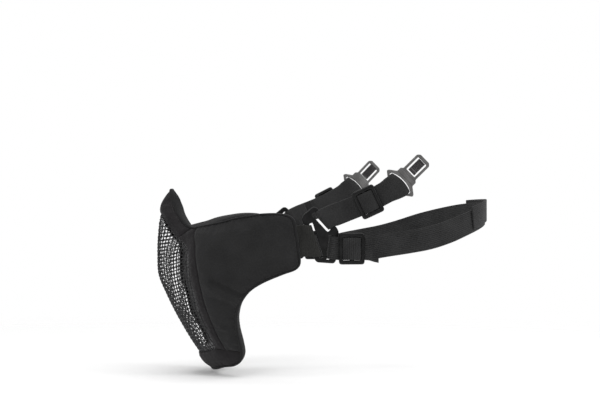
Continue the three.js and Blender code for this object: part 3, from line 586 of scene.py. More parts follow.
def face_level(flat, name, gap):
    """How far the cover stands out from the form, with its pulled seams, dents and soft waves."""
    rim = distance_to(flat, np.array(gap))
    level = COVER_REST + crown(rim, COVER_RISE, COVER_RUN)
    level = level + 0.10 * np.sin(flat[:, 0] / 7.3 + 1.1) * np.sin(flat[:, 1] / 8.9 + 0.4)
    both = np.stack([np.abs(flat[:, 0]), flat[:, 1]], 1)
    if name not in ("nose", "chin"):
        flush = np.exp(-((distance_to(both, cheek_seam, closed=False) / 3) ** 2))
        level = level + 0.8 * flush * (1 - np.exp(-((distance_to(both, mask_edge) / 6) ** 2)))
    if "cheek" in name:
        away_from = distance_to(both, DENT, closed=False)
        below = distance_to(both + [2.5, 5.5], DENT, closed=False)
        level = level - DENT_DEPTH * np.exp(-((away_from / DENT_WIDE) ** 2))
        level = level + FOLD_RISE * np.exp(-((below / FOLD_WIDE) ** 2))
    if name == "nose":
        level = level + crown(rim, 0.7, 6)
    return level


def panels_of(lines, with_border):
    points, faces = panel_points(lines)
    faces = counter_clockwise(points, faces)
    names = panel_of(points[faces].mean(1), lines[0][0], with_border)
    return {name: part_of(points, faces, names == name) for name in sorted(set(names) - {""})}


shared_lines = [(window_edge, True), *seam_pair(NOSE_SEAM), *seam_pair(CHIN_SEAM)]
cover_lines = [(cover_edge, True), *shared_lines, *seam_pair(CHEEK_SEAM)]
lining_lines = [(lining_edge, True), *shared_lines]
pads = []
for kind, found in (
    ("cover", panels_of(cover_lines, with_border=True)),
    ("lining", panels_of(lining_lines, with_border=False)),
):
    for name, (flat, faces) in found.items():
        rim = rim_of(faces)
        onward = dict(rim)
        loop, at = [], rim[0][0]
        while len(loop) < len(rim):
            loop.append(at)
            at = onward[at]
        gap = flat[loop]
        pull = inset_loop(gap[::-1], SEAM_GAP)[::-1]
        shape = flat.copy()
        shape[loop] = pull
        if kind == "cover":
            level, foot = face_level(flat, name, gap), COVER_FOOT
        else:
            level = LINING_REST - crown(distance_to(flat, gap), LINING_RISE, LINING_RUN)
            foot = LINING_TOP
        pads.append({"kind": kind, "name": name, "flat": shape, "faces": faces, "rim": rim,
                     "level": level, "foot": foot, "out": 1 if kind == "cover" else -1})

# The cloth is cut a little larger than the foam and is sewn down at its rim, so it fills out.
for pad in pads:
    pad["skin"] = lay(pad["flat"], pad["level"])
starts = np.cumsum([0] + [len(pad["skin"]) for pad in pads])
joined = np.vstack([pad["skin"] for pad in pads])
faces = [(f[::pad["out"]] + start).tolist() for pad, start in zip(pads, starts) for f in pad["faces"]]
cloth = make_piece("cloth_at_rest", joined * SIM_SCALE, faces)
held = sorted({int(v + start) for pad, start in zip(pads, starts) for edge in pad["rim"] for v in edge})
cloth.vertex_groups.new(name="sewn").add(held, 1.0, "REPLACE")
stretch = cloth.modifiers.new("cloth", "CLOTH").settings
stretch.vertex_group_mass = "sewn"
stretch.quality = 6
stretch.mass = 0.3
stretch.tension_stiffness = stretch.compression_stiffness = 20
stretch.shear_stiffness = 8
stretch.bending_stiffness = 1.2
stretch.shrink_min = -0.02
stretch.use_pressure = True
stretch.uniform_pressure_force = 1.5
stretch.effector_weights.gravity = 0
for step in range(1, SIM_STEPS + 1):
    scene.frame_set(step)
ready = cloth.evaluated_get(bpy.context.evaluated_depsgraph_get())
swollen = np.zeros(len(joined) * 3)
ready.data.vertices.foreach_get("co", swollen)
moved = swollen.reshape(-1, 3) / SIM_SCALE - joined
size = np.linalg.norm(moved, axis=1)
moved *= (np.minimum(size, SIM_CAP * MM) / np.maximum(size, 1e-9))[:, None]
for pad, start in zip(pads, starts):
    pad["skin"] = pad["skin"] + moved[start:start + len(pad["skin"])]
bpy.data.objects.remove(cloth)
scene.frame_set(1)

cover_pieces = []
for pad in pads:
    flat, faces, rim, out = pad["flat"], pad["faces"], pad["rim"], pad["out"]
    count = len(flat)
    middle = lay(flat, (pad["level"] + pad["foot"]) / 2)
    foot = lay(flat, pad["foot"])
    ring = sorted({v for edge in rim for v in edge})
    top, waist, base = {}, {}, {}
    for i, v in enumerate(ring):
        top[v], waist[v], base[v] = v, 2 * count + i, v + count
    points = np.vstack([pad["skin"], foot, middle[ring]])
    sides = [face[::out].tolist() for face in faces] + [(face[::-out] + count).tolist() for face in faces]
    for a, b in rim:
        for low, high in ((waist, top), (base, waist)):
            sides.append([low[a], low[b], high[b], high[a]][::out])
    cut = np.vstack([flat, flat + [0, 150], flat[ring]])
    suffix = "padding" if pad["kind"] == "cover" else "lining"
    piece = make_piece(f"{pad['name']}_{suffix}", points, sides, cut)
    finer = piece.modifiers.new("smooth", "SUBSURF")
    finer.levels = finer.render_levels = 1
    finer.uv_smooth = "NONE"
    settle(piece)
    name = pad["name"]
    if pad["kind"] == "lining":
        piece.data.materials.append(lining_cloth)
        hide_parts(f"{name}_lining")
    else:
        cover_pieces.append(piece)
        cheek = "cheek" in name
        piece.data.materials.append(cheek_cloth if cheek else frame_cloth)
        node = name.replace("border", "mesh_border") if "border" in name else f"{name}_cover"
        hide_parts(node, *([] if "border" in name else [f"{name}_foam"]))
    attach(piece, "mask")

# ---- Edge binding --------------------------------------------------------------------------------
# A folded nylon tape sewn round the whole edge, closed over cover and lining. It puckers a little
# between its stitches.
BINDING_PROFILE = smooth_line([  # distance in from the edge, distance out from the form
    [1.9, 1.35], [1.3, 1.65], [0.6, 1.4], [0.1, 0.4], [-0.05, -0.8], [-0.1, -2.9], [-0.05, -5.2], [0.4, -7.0],
    [1.4, -8.0], [2.6, -8.2], [3.3, -7.9], [2.9, -7.5], [1.7, -7.4], [0.9, -6.6], [0.6, -5.2], [0.55, -0.8],
    [0.7, 0.4], [1.1, 0.95], [1.7, 1.05],
], 0.8, closed=True)
binding_cloth = cloth_finish(
    "binding_tape", (0.0075, 0.0075, 0.008, 1), (0.014, 0.014, 0.0145, 1), 1.1, 0.8, 0.0, 0.14, 0.72, 0.12)

EDGE_STEP = 1.6
PUCKER, PUCKER_EVERY, SWAY, SWAY_RUN = 0.07, 3.2, 0.08, 5.1  # dips at the stitches, and slow waves


def tube_faces(rings, around, closed=False):
    """Four-sided faces between rings of points that follow each other along a run."""
    return [
        (i * around + k, i * around + (k + 1) % around,
         (i + 1) % rings * around + (k + 1) % around, (i + 1) % rings * around + k)
        for i in range(rings if closed else rings - 1) for k in range(around)]


edge_run = smooth_line(both_halves(MASK_EDGE), EDGE_STEP, closed=True)
along_edge = np.arange(len(edge_run)) * EDGE_STEP
rings = []
for inward, out in BINDING_PROFILE:
    pucker = PUCKER * np.sin(along_edge * 2 * math.pi / PUCKER_EVERY) * (1 if inward > 2 else 0.4)
    pucker = pucker + SWAY * np.sin(along_edge / SWAY_RUN)
    rings.append(lay(inset_loop(edge_run, inward + 0.05), out + math.copysign(1, out + 3) * pucker))
points = np.stack(rings, 1).reshape(-1, 3)
around = len(BINDING_PROFILE)
runs = len(edge_run)
girth = run_along(BINDING_PROFILE)
cut = np.stack([np.repeat(along_edge, around), np.tile(girth, runs)], 1)
binding = make_piece("bound_edge", points, tube_faces(runs, around, closed=True), cut)


def outward(piece):
    """Turns a closed mesh's faces outwards."""
    shell = bmesh.new()
    shell.from_mesh(piece.data)
    bmesh.ops.recalc_face_normals(shell, faces=shell.faces)
    shell.to_mesh(piece.data)
    shell.free()
    return piece


outward(binding)
binding.data.materials.append(binding_cloth)
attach(binding, "mask")
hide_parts("edge_binding")

# ---- Stitching -----------------------------------------------------------------------------------
# Bonded nylon thread in a lockstitch about 3 mm long: one row holds the binding, one runs beside
# each cheek seam and one round the mesh's window.
STITCH_LENGTH, STITCH_THREAD, STITCH_PITCH = 2.2, 0.42, 3.1
thread_finish = hard_finish(
    "sewing_thread", (0.012, 0.012, 0.0125, 1), (0.03, 0.03, 0.031, 1), 0.55, 0.0, 0.0003, 0.2, 0.4)


def stitch_tree():
    tree = bpy.data.node_groups.new("stitches", "GeometryNodeTree")
    add_sockets(tree, "INPUT", "Geometry", "Rows")
    add_sockets(tree, "INPUT", "Float", "Stitch length", "Thread", "Pitch")
    add_sockets(tree, "INPUT", "Material", "Finish")
    add_sockets(tree, "OUTPUT", "Geometry", "Stitches")
    given = tree.nodes.new("NodeGroupInput").outputs
    length, thread, pitch = (
        sums(tree, "MULTIPLY", given[name], MM) for name in ("Stitch length", "Thread", "Pitch"))
    line = place_node(tree, "GeometryNodeMeshToCurve", {0: given["Rows"]})
    even = place_node(tree, "GeometryNodeResampleCurve", {0: line.outputs[0], "Length": pitch}, mode="LENGTH")
    half = sums(tree, "MULTIPLY", length, 0.5)
    back = sums(tree, "MULTIPLY", half, -1.0)
    sunk = sums(tree, "MULTIPLY", thread, -0.6)
    ends = [place_node(tree, "ShaderNodeCombineXYZ", {0: x, 2: sunk}).outputs[0] for x in (back, half)]
    middle = place_node(tree, "ShaderNodeCombineXYZ", {2: sums(tree, "MULTIPLY", thread, 0.9)}).outputs[0]
    bow = place_node(
        tree, "GeometryNodeCurveQuadraticBezier",
        {"Resolution": 4, "Start": ends[0], "Middle": middle, "End": ends[1]})
    profile = place_node(
        tree, "GeometryNodeCurvePrimitiveCircle", {0: 5, "Radius": sums(tree, "MULTIPLY", thread, 0.5)})
    stitch = place_node(
        tree, "GeometryNodeCurveToMesh", {0: bow.outputs[0], 1: profile.outputs[0], "Fill Caps": True})
    tangent = tree.nodes.new("GeometryNodeInputTangent").outputs[0]
    out = place_node(
        tree, "GeometryNodeInputNamedAttribute", {0: "out"}, data_type="FLOAT_VECTOR").outputs[0]
    facing = place_node(tree, "FunctionNodeAlignRotationToVector", {"Vector": tangent}, axis="X")
    facing = place_node(
        tree, "FunctionNodeAlignRotationToVector",
        {"Rotation": facing.outputs[0], "Vector": out}, axis="Z", pivot_axis="X")
    many = place_node(
        tree, "GeometryNodeInstanceOnPoints",
        {0: even.outputs[0], "Instance": stitch.outputs[0], "Rotation": facing.outputs[0]})
    real = place_node(tree, "GeometryNodeRealizeInstances", {0: many.outputs[0]})
    painted = place_node(tree, "GeometryNodeSetMaterial", {0: real.outputs[0], "Material": given["Finish"]})
    place_node(tree, "NodeGroupOutput", {0: painted.outputs[0]})
    return tree


stitch_nodes = stitch_tree()


def stitch_rows(name, rows):
    """A piece of stitches along rows of places and outward directions, each closed or open."""
    points, edges, outs = [], [], []
    for places, directions, closed in rows:
        first = len(points)
        points.extend(places)
        outs.extend(directions)
        edges += [(first + i, first + i + 1) for i in range(len(places) - 1)]
        if closed:
            edges.append((first + len(places) - 1, first))
    piece = make_piece(name, points, [], edges=edges)
    heading = piece.data.attributes.new("out", "FLOAT_VECTOR", "POINT")
    heading.data.foreach_set("vector", np.array(outs, float).ravel())
    return run_tree(piece, stitch_nodes, {
        "Stitch length": STITCH_LENGTH, "Thread": STITCH_THREAD, "Pitch": STITCH_PITCH,
        "Finish": thread_finish})


surfaces = [binding, *cover_pieces]
trees = [BVHTree.FromPolygons(
    [v.co for v in piece.data.vertices], [p.vertices for p in piece.data.polygons]) for piece in surfaces]


def on_surface(flat, closed):
    """Drops flat points from outside on to the covers and the binding."""
    high, low = lay(flat, 12), lay(flat, 0)
    places, directions = [], []
    for a, b in zip(high, low):
        start, heading = Vector(a), (Vector(b) - Vector(a)).normalized()
        hits = [hit for hit in (tree.ray_cast(start, heading, 0.015) for tree in trees) if hit[0]]
        if hits:
            first = min(hits, key=lambda hit: hit[3])
            places.append(first[0])
            directions.append(-heading)
    return places, directions, closed


seam_rows = [on_surface(inset_loop(edge_run, 2.7), True), on_surface(inset_loop(window_edge, -2.3), True)]
for mirror in (1, -1):
    beside = smooth_line(CHEEK_SEAM, 2.0)[5:-3] - [1.9, 0]
    seam_rows.append(on_surface(beside * [mirror, 1], False))
seam_stitches = stitch_rows("seam_stitches", seam_rows)
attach(seam_stitches, "mask")

# ---- Front tabs ----------------------------------------------------------------------------------
# Nylon webbing 26 mm wide, folded round the front bar of each ring. Both ends are sewn 9 mm into
# the wing, inside its bound edge.
STRAP = 1.15
TAB_HALF, TAB_LEVEL, TAB_REACH, TAB_INSERT, TAB_SLOPE, TAB_DROP = 12.8, 57.0, 9.6, 9.0, -0.32, 3.0
LOOP = 2.9  # radius of a strap's middle line round a ring bar
WING_END = 84.0  # side angle of the wing's rear edge at the tab
wing_rear = lay(flat_line([[WING_END, TAB_LEVEL]]), 0)[0] / MM
WING_Y = float(wing_rear[1])
RING_X = FACE_HALF - 3.0
tab_webbing = cloth_finish(
    "tab_webbing", (0.0095, 0.0095, 0.009, 1), (0.027, 0.027, 0.025, 1), 1.5, 1.1, 0.9, 0.2, 0.75, 0.15)


def ease(t, low, high):
    t = min(max((t - low) / (high - low), 0.0), 1.0)
    return t * t * (3 - 2 * t)


def strap_piece(name, stations, thick=STRAP, spacing=1.1, rows=8, cross_ribs=False):
    """A flat strap through stations in mm, each a middle point and half the strap's breadth."""
    line = smooth_line(np.array([[*middle, *half] for middle, half in stations]), spacing)
    middle, half = line[:, :3], line[:, 3:]
    along = np.gradient(middle, axis=0)
    along /= np.linalg.norm(along, axis=1)[:, None]
    breadth = np.linalg.norm(half, axis=1)
    side = half / breadth[:, None]
    up = np.cross(along, side)
    up /= np.linalg.norm(up, axis=1)[:, None]
    round_off = thick / 2
    profile = [(s, 0.0, -1.0) for s in np.linspace(-1, 1, rows)]
    profile += [(1.0, math.cos(a), math.sin(a)) for a in np.linspace(-1.1, 1.1, 4)]
    profile += [(s, 0.0, 1.0) for s in np.linspace(1, -1, rows)]
    profile += [(-1.0, -math.cos(a), -math.sin(a)) for a in np.linspace(-1.1, 1.1, 4)]
    run = run_along(middle)
    points, cut = [], []
    for s, bulge, level in profile:
        span = s * (breadth - round_off) + bulge * round_off
        points.append(middle + side * span[:, None] + up * (level * thick / 2))
        cut.append(np.stack([span, run] if cross_ribs else [run, span], 1))
    around, length = len(profile), len(line)
    points = np.stack(points, 1).reshape(-1, 3)
    cut = np.stack(cut, 1).reshape(-1, 2)
    faces = tube_faces(length, around)
    faces += [list(range(around))[::-1], list(range((length - 1) * around, length * around))]
    return outward(make_piece(name, points * MM, faces, cut))


def other_side(piece, name):
    """The mirror image of a left-hand piece, for the right."""
    mesh = piece.data.copy()
    mesh.name = name
    mesh.transform(Matrix.Diagonal((-1, 1, 1, 1)))
    mesh.flip_normals()
    twin = bpy.data.objects.new(name, mesh)
    scene.collection.objects.link(twin)
    return twin


def add_pair(piece, kind, body, material=None, also=()):
    """Left and right copies of one piece, each riding on its side's body in place of its node."""
    if material:
        piece.data.materials.append(material)
    piece.name = f"left_{kind}"
    for side, made in (("left", piece), ("right", other_side(piece, f"right_{kind}"))):
        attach(made, body.format(side=side))
        if also:
            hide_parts(*(node.format(side=side) for node in also))


bar_y = WING_Y + TAB_REACH - TAB_SLOPE * TAB_DROP + 0.4


def tab_station(y, out):
    lean = TAB_SLOPE * ease(y, WING_Y - 0.5, bar_y - 3.2)
    return (RING_X + out, y, TAB_LEVEL - TAB_DROP), (0.0, TAB_HALF * lean, TAB_HALF)


tab_side = [
    (WING_Y - TAB_INSERT, 0.75), (WING_Y - 3, 0.75), (WING_Y, 0.8), (bar_y - 4.5, 2.3), (bar_y - 2, LOOP)]
tab_line = [tab_station(y, out) for y, out in tab_side]
for a in np.linspace(0.25, math.pi - 0.25, 6):
    tab_line.append(tab_station(bar_y + LOOP * math.sin(a), LOOP * math.cos(a)))
tab_line += [tab_station(y, -out) for y, out in tab_side[::-1]]
tab_piece = strap_piece("tab", tab_line, thick=1.25)
add_pair(tab_piece, "tab_webbing", "mask", tab_webbing, ["{side}_tab"])

# ---- Strap rings ---------------------------------------------------------------------------------
# Moulded black nylon, 2.2 mm thick with rounded edges: three slots, for the tab in front, the
# helmet strap above and the rear strap behind.
RING_THICK, BAR = 2.2, 2.05
RING_EDGE = [
    [-7, 15], [-6, 18.2], [2, 24.6], [4.6, 24.4], [22, 7.4], [23.4, 4], [20.9, -19.4], [19, -21.4],
    [5.6, -20.4], [3.7, -18.6],
]
RING_SLOTS = {
    "front": ([0.3, 11.3], [9.2, -16.5], 3.0),
    "upper": ([2.1, 19.6], [15.5, 5.2], 3.6),
    "rear": ([16.4, 1.4], [14, -18.1], 3.0),
}
black_nylon = hard_finish(
    "moulded_nylon", (0.0035, 0.0035, 0.0037, 1), (0.010, 0.010, 0.0105, 1), 0.26, 0.0, 0.0006, 0.25, 0.25)


def rounded(corners, radius, steps=4):
    """A loop of corners with each one rounded off."""
    corners = np.asarray(corners, float)
    line = []
    for i, corner in enumerate(corners):
        back, onward = corners[i - 1] - corner, corners[(i + 1) % len(corners)] - corner
        reach = min(radius, 0.45 * np.linalg.norm(back), 0.45 * np.linalg.norm(onward))
        p = corner + back / np.linalg.norm(back) * reach
        q = corner + onward / np.linalg.norm(onward) * reach
        for t in np.linspace(0, 1, steps + 1):
            line.append((1 - t) ** 2 * p + 2 * t * (1 - t) * corner + t * t * q)
    return np.array(line)


def turned(loop, clockwise):
    area = (loop[:, 0] * np.roll(loop[:, 1], -1) - np.roll(loop[:, 0], -1) * loop[:, 1]).sum()
    return loop[::-1] if (area < 0) != clockwise else loop


def moulded(name, outline, holes, thick, edge, axes, origin, bow=None):
    """A moulded plate: its plan in mm along the first two axes, with rounded edges and bowed as asked."""
    loops = [turned(np.asarray(outline), True)] + [turned(np.asarray(hole), False) for hole in holes]
    rings = [(edge * (1 - math.sin(a)), edge * (1 - math.cos(a))) for a in np.linspace(0, math.pi / 2, 4)]
    levels = [(inward, down - thick / 2) for inward, down in rings]
    levels += [(inward, -level) for inward, level in levels[::-1]]
    points, faces, caps = [], [], ([], [])
    for loop in loops:
        first, count = len(points), len(loop)
        for inward, level in levels:
            points += [(x, y, level) for x, y in inset_loop(loop, inward)]
        for k in range(len(levels) - 1):
            for i in range(count):
                a, b = first + k * count + i, first + k * count + (i + 1) % count
                faces.append((a, a + count, b + count, b))
        caps[0].append((first, count))
        caps[1].append((first + (len(levels) - 1) * count, count))
    points = np.array(points)
    for upper, cap in enumerate(caps):
        index = np.concatenate([np.arange(first, first + count) for first, count in cap])
        edges, start = [], 0
        for first, count in cap:
            edges += [(start + i, start + (i + 1) % count) for i in range(count)]
            start += count
        flat = points[index, :2]
        made = delaunay_2d_cdt([Vector(p) for p in flat], edges, [], 0, 1e-6)
        source = [origin_list[0] for origin_list in made[3]]
        for face in made[2]:
            middle = np.mean([list(made[0][v]) for v in face], 0)[None]
            rims = [flat[s:s + c] for s, c in zip(np.cumsum([0] + [c for _, c in cap]), [c for _, c in cap])]
            if inside(middle, rims[0])[0] and not any(inside(middle, rim)[0] for rim in rims[1:]):
                corners = [int(index[source[v]]) for v in face]
                faces.append(corners if upper else corners[::-1])
    if bow is not None:
        points[:, 2] += bow(points[:, 0], points[:, 1])
    basis = np.array([list(axis) for axis in axes], float)
    piece = outward(make_piece(name, (points @ basis + np.asarray(origin, float)) * MM, faces))
    piece.data.set_sharp_from_angle(angle=math.radians(38))
    return piece


def slot_line(slot):
    (start, end, width) = slot
    line = np.subtract(end, start) / np.linalg.norm(np.subtract(end, start))
    return line, np.array([-line[1], line[0]]), np.add(start, end) / 2, width


def slot_hole(slot):
    line, side, _, width = slot_line(slot)
    start, end = np.array(slot[0]), np.array(slot[1])
    return rounded([start + side * width / 2, start - side * width / 2,
                    end - side * width / 2, end + side * width / 2], 1.0, 3)


SIDE_AXES = ((0, 1, 0), (0, 0, 1), (1, 0, 0))
RING_AT = np.array([RING_X, WING_Y + TAB_REACH, TAB_LEVEL])
ring_piece = moulded(
    "ring", rounded(RING_EDGE, 1.8), [slot_hole(slot) for slot in RING_SLOTS.values()],
    RING_THICK, 0.75, SIDE_AXES, RING_AT)
add_pair(ring_piece, "strap_ring", "{side}_ring", black_nylon, ["{side}_ring"])

# ---- Helmet straps -------------------------------------------------------------------------------
# Elastic webbing 18 mm wide from the ring's upper bar to the clip, doubled back to the slider. It
# bunches and turns to meet the clip's bar.
ELASTIC_HALF, CLIP_LOOP, SINGLE = 9.0, 2.8, -0.8
HELMET_RUN = Vector((15, 57, 26.5))
HELMET_SLIDER_AT = 0.585
BUNCH = 1.5  # the strap spreads where it is bunched in the clip
elastic_cloth = cloth_finish(
    "ribbed_elastic", (0.010, 0.010, 0.0102, 1), (0.031, 0.031, 0.0314, 1),
    1.0, 0.9, 0.5, 0.12, 0.7, 0.16, 0.25)


def bar_of(slot):
    line, side, middle, width = slot_line(slot)
    middle = middle + side * (width / 2 + BAR)
    at = Vector(RING_AT) + Vector((0, middle[0], middle[1]))
    return at, Vector((0, line[0], line[1])), Vector((0, side[0], side[1]))


upper_at, upper_bar, upper_away = bar_of(RING_SLOTS["upper"])
rear_at, rear_bar, rear_away = bar_of(RING_SLOTS["rear"])
clip_at = upper_at + HELMET_RUN
strap_middle = upper_at.lerp(clip_at, HELMET_SLIDER_AT) + Vector((0, 0.4, -1.9))
helmet_line = smooth_line([upper_at, strap_middle, clip_at], 0.2)
strap_out = Vector((0, HELMET_RUN.z, -HELMET_RUN.y)).cross(HELMET_RUN).normalized()
clip_along = Vector((4, 21, 21)).normalized()
clip_out = Vector((0, 1, -1)).cross(clip_along).normalized()
clip_across = clip_out.cross(clip_along)
X_AXIS, Z_AXIS = Vector((1, 0, 0)), Vector((0, 0, 1))


def line_at(line, share):
    place = min(max(share, 0.0), 1.0) * (len(line) - 1)
    i = min(int(place), len(line) - 2)
    tangent = Vector(line[min(i + 2, len(line) - 1)] - line[max(i - 1, 0)]).normalized()
    return Vector(line[i] + (line[i + 1] - line[i]) * (place - i)), tangent


def helmet_station(share, level, wide=ELASTIC_HALF):
    at, along = line_at(helmet_line, share)
    square = along.cross(strap_out).normalized()
    near, far = 1 - ease(share, 0, 0.16), ease(share, 0.76, 1)
    out = strap_out.lerp(X_AXIS, near).lerp(clip_out, far).normalized()
    across = square.lerp(upper_bar * math.copysign(1, square.dot(upper_bar)), near)
    across = across.lerp(clip_across * math.copysign(1, square.dot(clip_across)), far)
    square_on = far * (1 - ease(share, 0.86, 1))
    across = (across - along * across.dot(along) * square_on).normalized()
    return at + out * level, across * (wide + BUNCH * ease(share, 0.82, 1))


def helmet_level(share, ring_end, clip_end, between):
    near = ring_end + (between - ring_end) * ease(share, 0.12, 0.38)
    return near + (clip_end - near) * ease(share, 0.74, 1)


def half_turn(at, away, out, radius, half, shift):
    centre = at + away * shift
    return [(centre - out * radius * math.cos(a) - away * radius * math.sin(a), half)
            for a in np.linspace(0, math.pi, 8)]


stations = []
for share in (0.2, 0.15, 0.1, 0.05):
    stations.append(helmet_station(share, helmet_level(share, -LOOP, 0, 2 * SINGLE - STRAP + 0.4)))
stations += half_turn(upper_at, upper_away, X_AXIS, LOOP, helmet_station(0, 0)[1], -0.4)
for share in 0.03 + 0.94 * np.arange(1, 20) / 20:
    stations.append(helmet_station(share, helmet_level(share, LOOP, -CLIP_LOOP, SINGLE)))
stations += half_turn(clip_at, -clip_along, clip_out, CLIP_LOOP, helmet_station(1, 0)[1], 0)
for share in 0.97 - (0.97 - HELMET_SLIDER_AT) * np.arange(1, 10) / 9:
    stations.append(helmet_station(share, helmet_level(share, 0, CLIP_LOOP, -SINGLE)))
helmet_webbing = strap_piece("helmet", stations)
# Past the clip's bar the strap swells in the middle, to fill the clip's curved opening: partly the real
# bunched strap, partly dark strap standing in for painted shadow in that opening.
SHADOW_FILL_SWELL = 0.78
for vertex in helmet_webbing.data.vertices:
    from_bar = vertex.co / MM - clip_at
    past, aside = from_bar.dot(clip_along), from_bar.dot(clip_across)
    if past > 0:
        vertex.co += clip_along * past * SHADOW_FILL_SWELL * max(0.0, 1 - (aside / 12.0) ** 2) * MM
add_pair(helmet_webbing, "helmet_webbing", "{side}_helmet_strap", elastic_cloth,
         ["{side}_helmet_strap"])

# ---- Sliders -------------------------------------------------------------------------------------
# Moulded nylon adjusters: a rounded frame with a centre bar, which the strap is threaded over. The
# frame is bowed slightly to the strap.
SLIDER_THICK, END_BAR, SIDE_BAR, CENTRE_BAR, CLEAR = 2.4, 2.9, 3.4, 2.8, 0.3


def oblong(half, low, high):
    return [[-half, low], [half, low], [half, high], [-half, high]]


def add_slider(kind, length, width, at, along, out, strap_material):
    across = Vector(along).cross(out)
    axes = (across, along, out)
    half_long, half_wide = length / 2, width / 2
    frame_edge = rounded(oblong(half_wide, -half_long, half_long), 2.6, 6)
    inner_wide, near, far = half_wide - SIDE_BAR, CENTRE_BAR / 2, half_long - END_BAR
    windows = [rounded(oblong(inner_wide, near * s, far * s), 0.9, 3) for s in (1, -1)]
    plate = moulded("slider", frame_edge, windows, SLIDER_THICK, 0.95, axes, at,
                    bow=lambda x, y: -0.35 * (y / half_long) ** 2 + 0.12)
    add_pair(plate, f"{kind}_buckle", "{side}_" + f"{kind}_slider", black_nylon,
             ["{side}_" + f"{kind}_slider"])
    reach, top, foot = far - 0.4, SLIDER_THICK / 2 + CLEAR + STRAP / 2 + 0.12, -0.2
    flat = near + 0.5
    path = [(-reach, foot), (-reach * 0.82, foot + 0.9), (-flat, top), (0, top + 0.1), (flat, top),
            (reach * 0.82, foot + 0.9), (reach, foot)]
    half = across * (inner_wide - 0.4)
    arch = [(Vector(at) + Vector(along) * y + Vector(out) * z, half) for y, z in path]
    thread = strap_piece("thread", arch, spacing=0.5, cross_ribs=True)
    add_pair(thread, f"{kind}_threading", "{side}_" + f"{kind}_slider", strap_material,
             ["{side}_" + f"{kind}_slider_thread"])


slider_lift = -SINGLE + 0.6 + CLEAR + SLIDER_THICK / 2
helmet_at, helmet_along = line_at(helmet_line, HELMET_SLIDER_AT)
slider_out = (strap_out - helmet_along * strap_out.dot(helmet_along)).normalized()
add_slider("helmet", 19.0, 24.0, helmet_at + strap_out * slider_lift, helmet_along, slider_out, elastic_cloth)

# ---- Rear strap ----------------------------------------------------------------------------------
# Ribbed elastic 19 mm wide, in one length from ring to ring round the back of the helmet. Each end
# turns round the ring's rear bar and lies back under the slider; the long end is sewn over outside.
REAR_HALF, REAR_LEVEL, TAIL_END = 9.3, -0.6, 37.0
HEAD_HALF, HEAD_BACK, REAR_RISE = 88.0, 145.0, 28.0
outer_layer = RING_X + LOOP
inner_layer = outer_layer - 1.2 - 0.4
rear_elastic = cloth_finish(
    "rear_elastic", (0.0065, 0.0065, 0.0067, 1), (0.036, 0.036, 0.0366, 1),
    1.2, 1.5, 0.0, 0.2, 0.7, 0.16, 0.85)


def on_rear(x, y, z):
    return Vector((x, rear_at.y + y, rear_at.z + z))


rear_half = [
    on_rear(inner_layer, 12.5, REAR_LEVEL), on_rear(inner_layer, 27.5, REAR_LEVEL),
    on_rear(0.92 * HEAD_HALF, 42, 2), on_rear(0.985 * HEAD_HALF, 60, 5), on_rear(HEAD_HALF, 76, 8),
    on_rear(0.96 * HEAD_HALF, 92, 12.5), on_rear(0.865 * HEAD_HALF, 109, 18.5),
    on_rear(0.67 * HEAD_HALF, 0.862 * HEAD_BACK, 0.84 * REAR_RISE),
    on_rear(0.4 * HEAD_HALF, 0.945 * HEAD_BACK, 0.96 * REAR_RISE),
]
flipped = [Vector((-p.x, p.y, p.z)) for p in rear_half]
rear_line = smooth_line([*rear_half, on_rear(0, HEAD_BACK, REAR_RISE), *flipped[::-1]], 0.5)


def rear_station(share, out=0.0, up=0.0, wide=REAR_HALF):
    at, along = line_at(rear_line, share)
    across = (Z_AXIS - along * along.z).normalized()
    return at + along.cross(across) * out + across * up, across * wide


def rear_end():
    stations = []
    for y in (TAIL_END, 33, 29, 24, 18, 12, 7, 3):
        droop = 1.6 * ease(y, 26, TAIL_END) + 0.4 * REAR_LEVEL * (1 - ease(y, 0, 10))
        flare = 1 + 0.08 * ease(y, 29, TAIL_END)
        stations.append((on_rear(outer_layer, y, REAR_LEVEL - droop), Z_AXIS * REAR_HALF * flare))
    bar = -rear_bar if rear_bar.z < 0 else rear_bar
    stations += half_turn(rear_at, rear_away, -X_AXIS, LOOP, bar * REAR_HALF, -0.4)
    for y in (2.5, 4.5, 6.5, 8.5, 10.5):
        x = RING_X - LOOP + (inner_layer - RING_X + LOOP) * ease(y, 3.5, 12)
        stations.append((on_rear(x, y, REAR_LEVEL * ease(y, 0, 10)), Z_AXIS * REAR_HALF))
    return stations


left_end = rear_end()
right_end = [(Vector((-a.x, a.y, a.z)), Vector((-b[0], b[1], b[2]))) for a, b in left_end][::-1]
middle_run = [rear_station(i / 56) for i in range(57)]
rear_strap = strap_piece("rear_strap_webbing", [*left_end, *middle_run, *right_end], spacing=1.3)
rear_strap.data.materials.append(rear_elastic)
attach(rear_strap, "rear_strap")
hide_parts("rear_strap")
long_end = strap_piece(
    "rear_strap_long_end", [rear_station(0.3 + 0.28 * i / 18, 1.5, 3.0) for i in range(19)], spacing=1.3)
long_end.data.materials.append(rear_elastic)
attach(long_end, "rear_strap")
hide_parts("rear_strap_overlap")
add_slider(
    "rear", 21.2, 25.5, on_rear(outer_layer + 0.6 + CLEAR + SLIDER_THICK / 2, 14.4, REAR_LEVEL),
    Vector((0, 1, 0)), X_AXIS, rear_elastic)

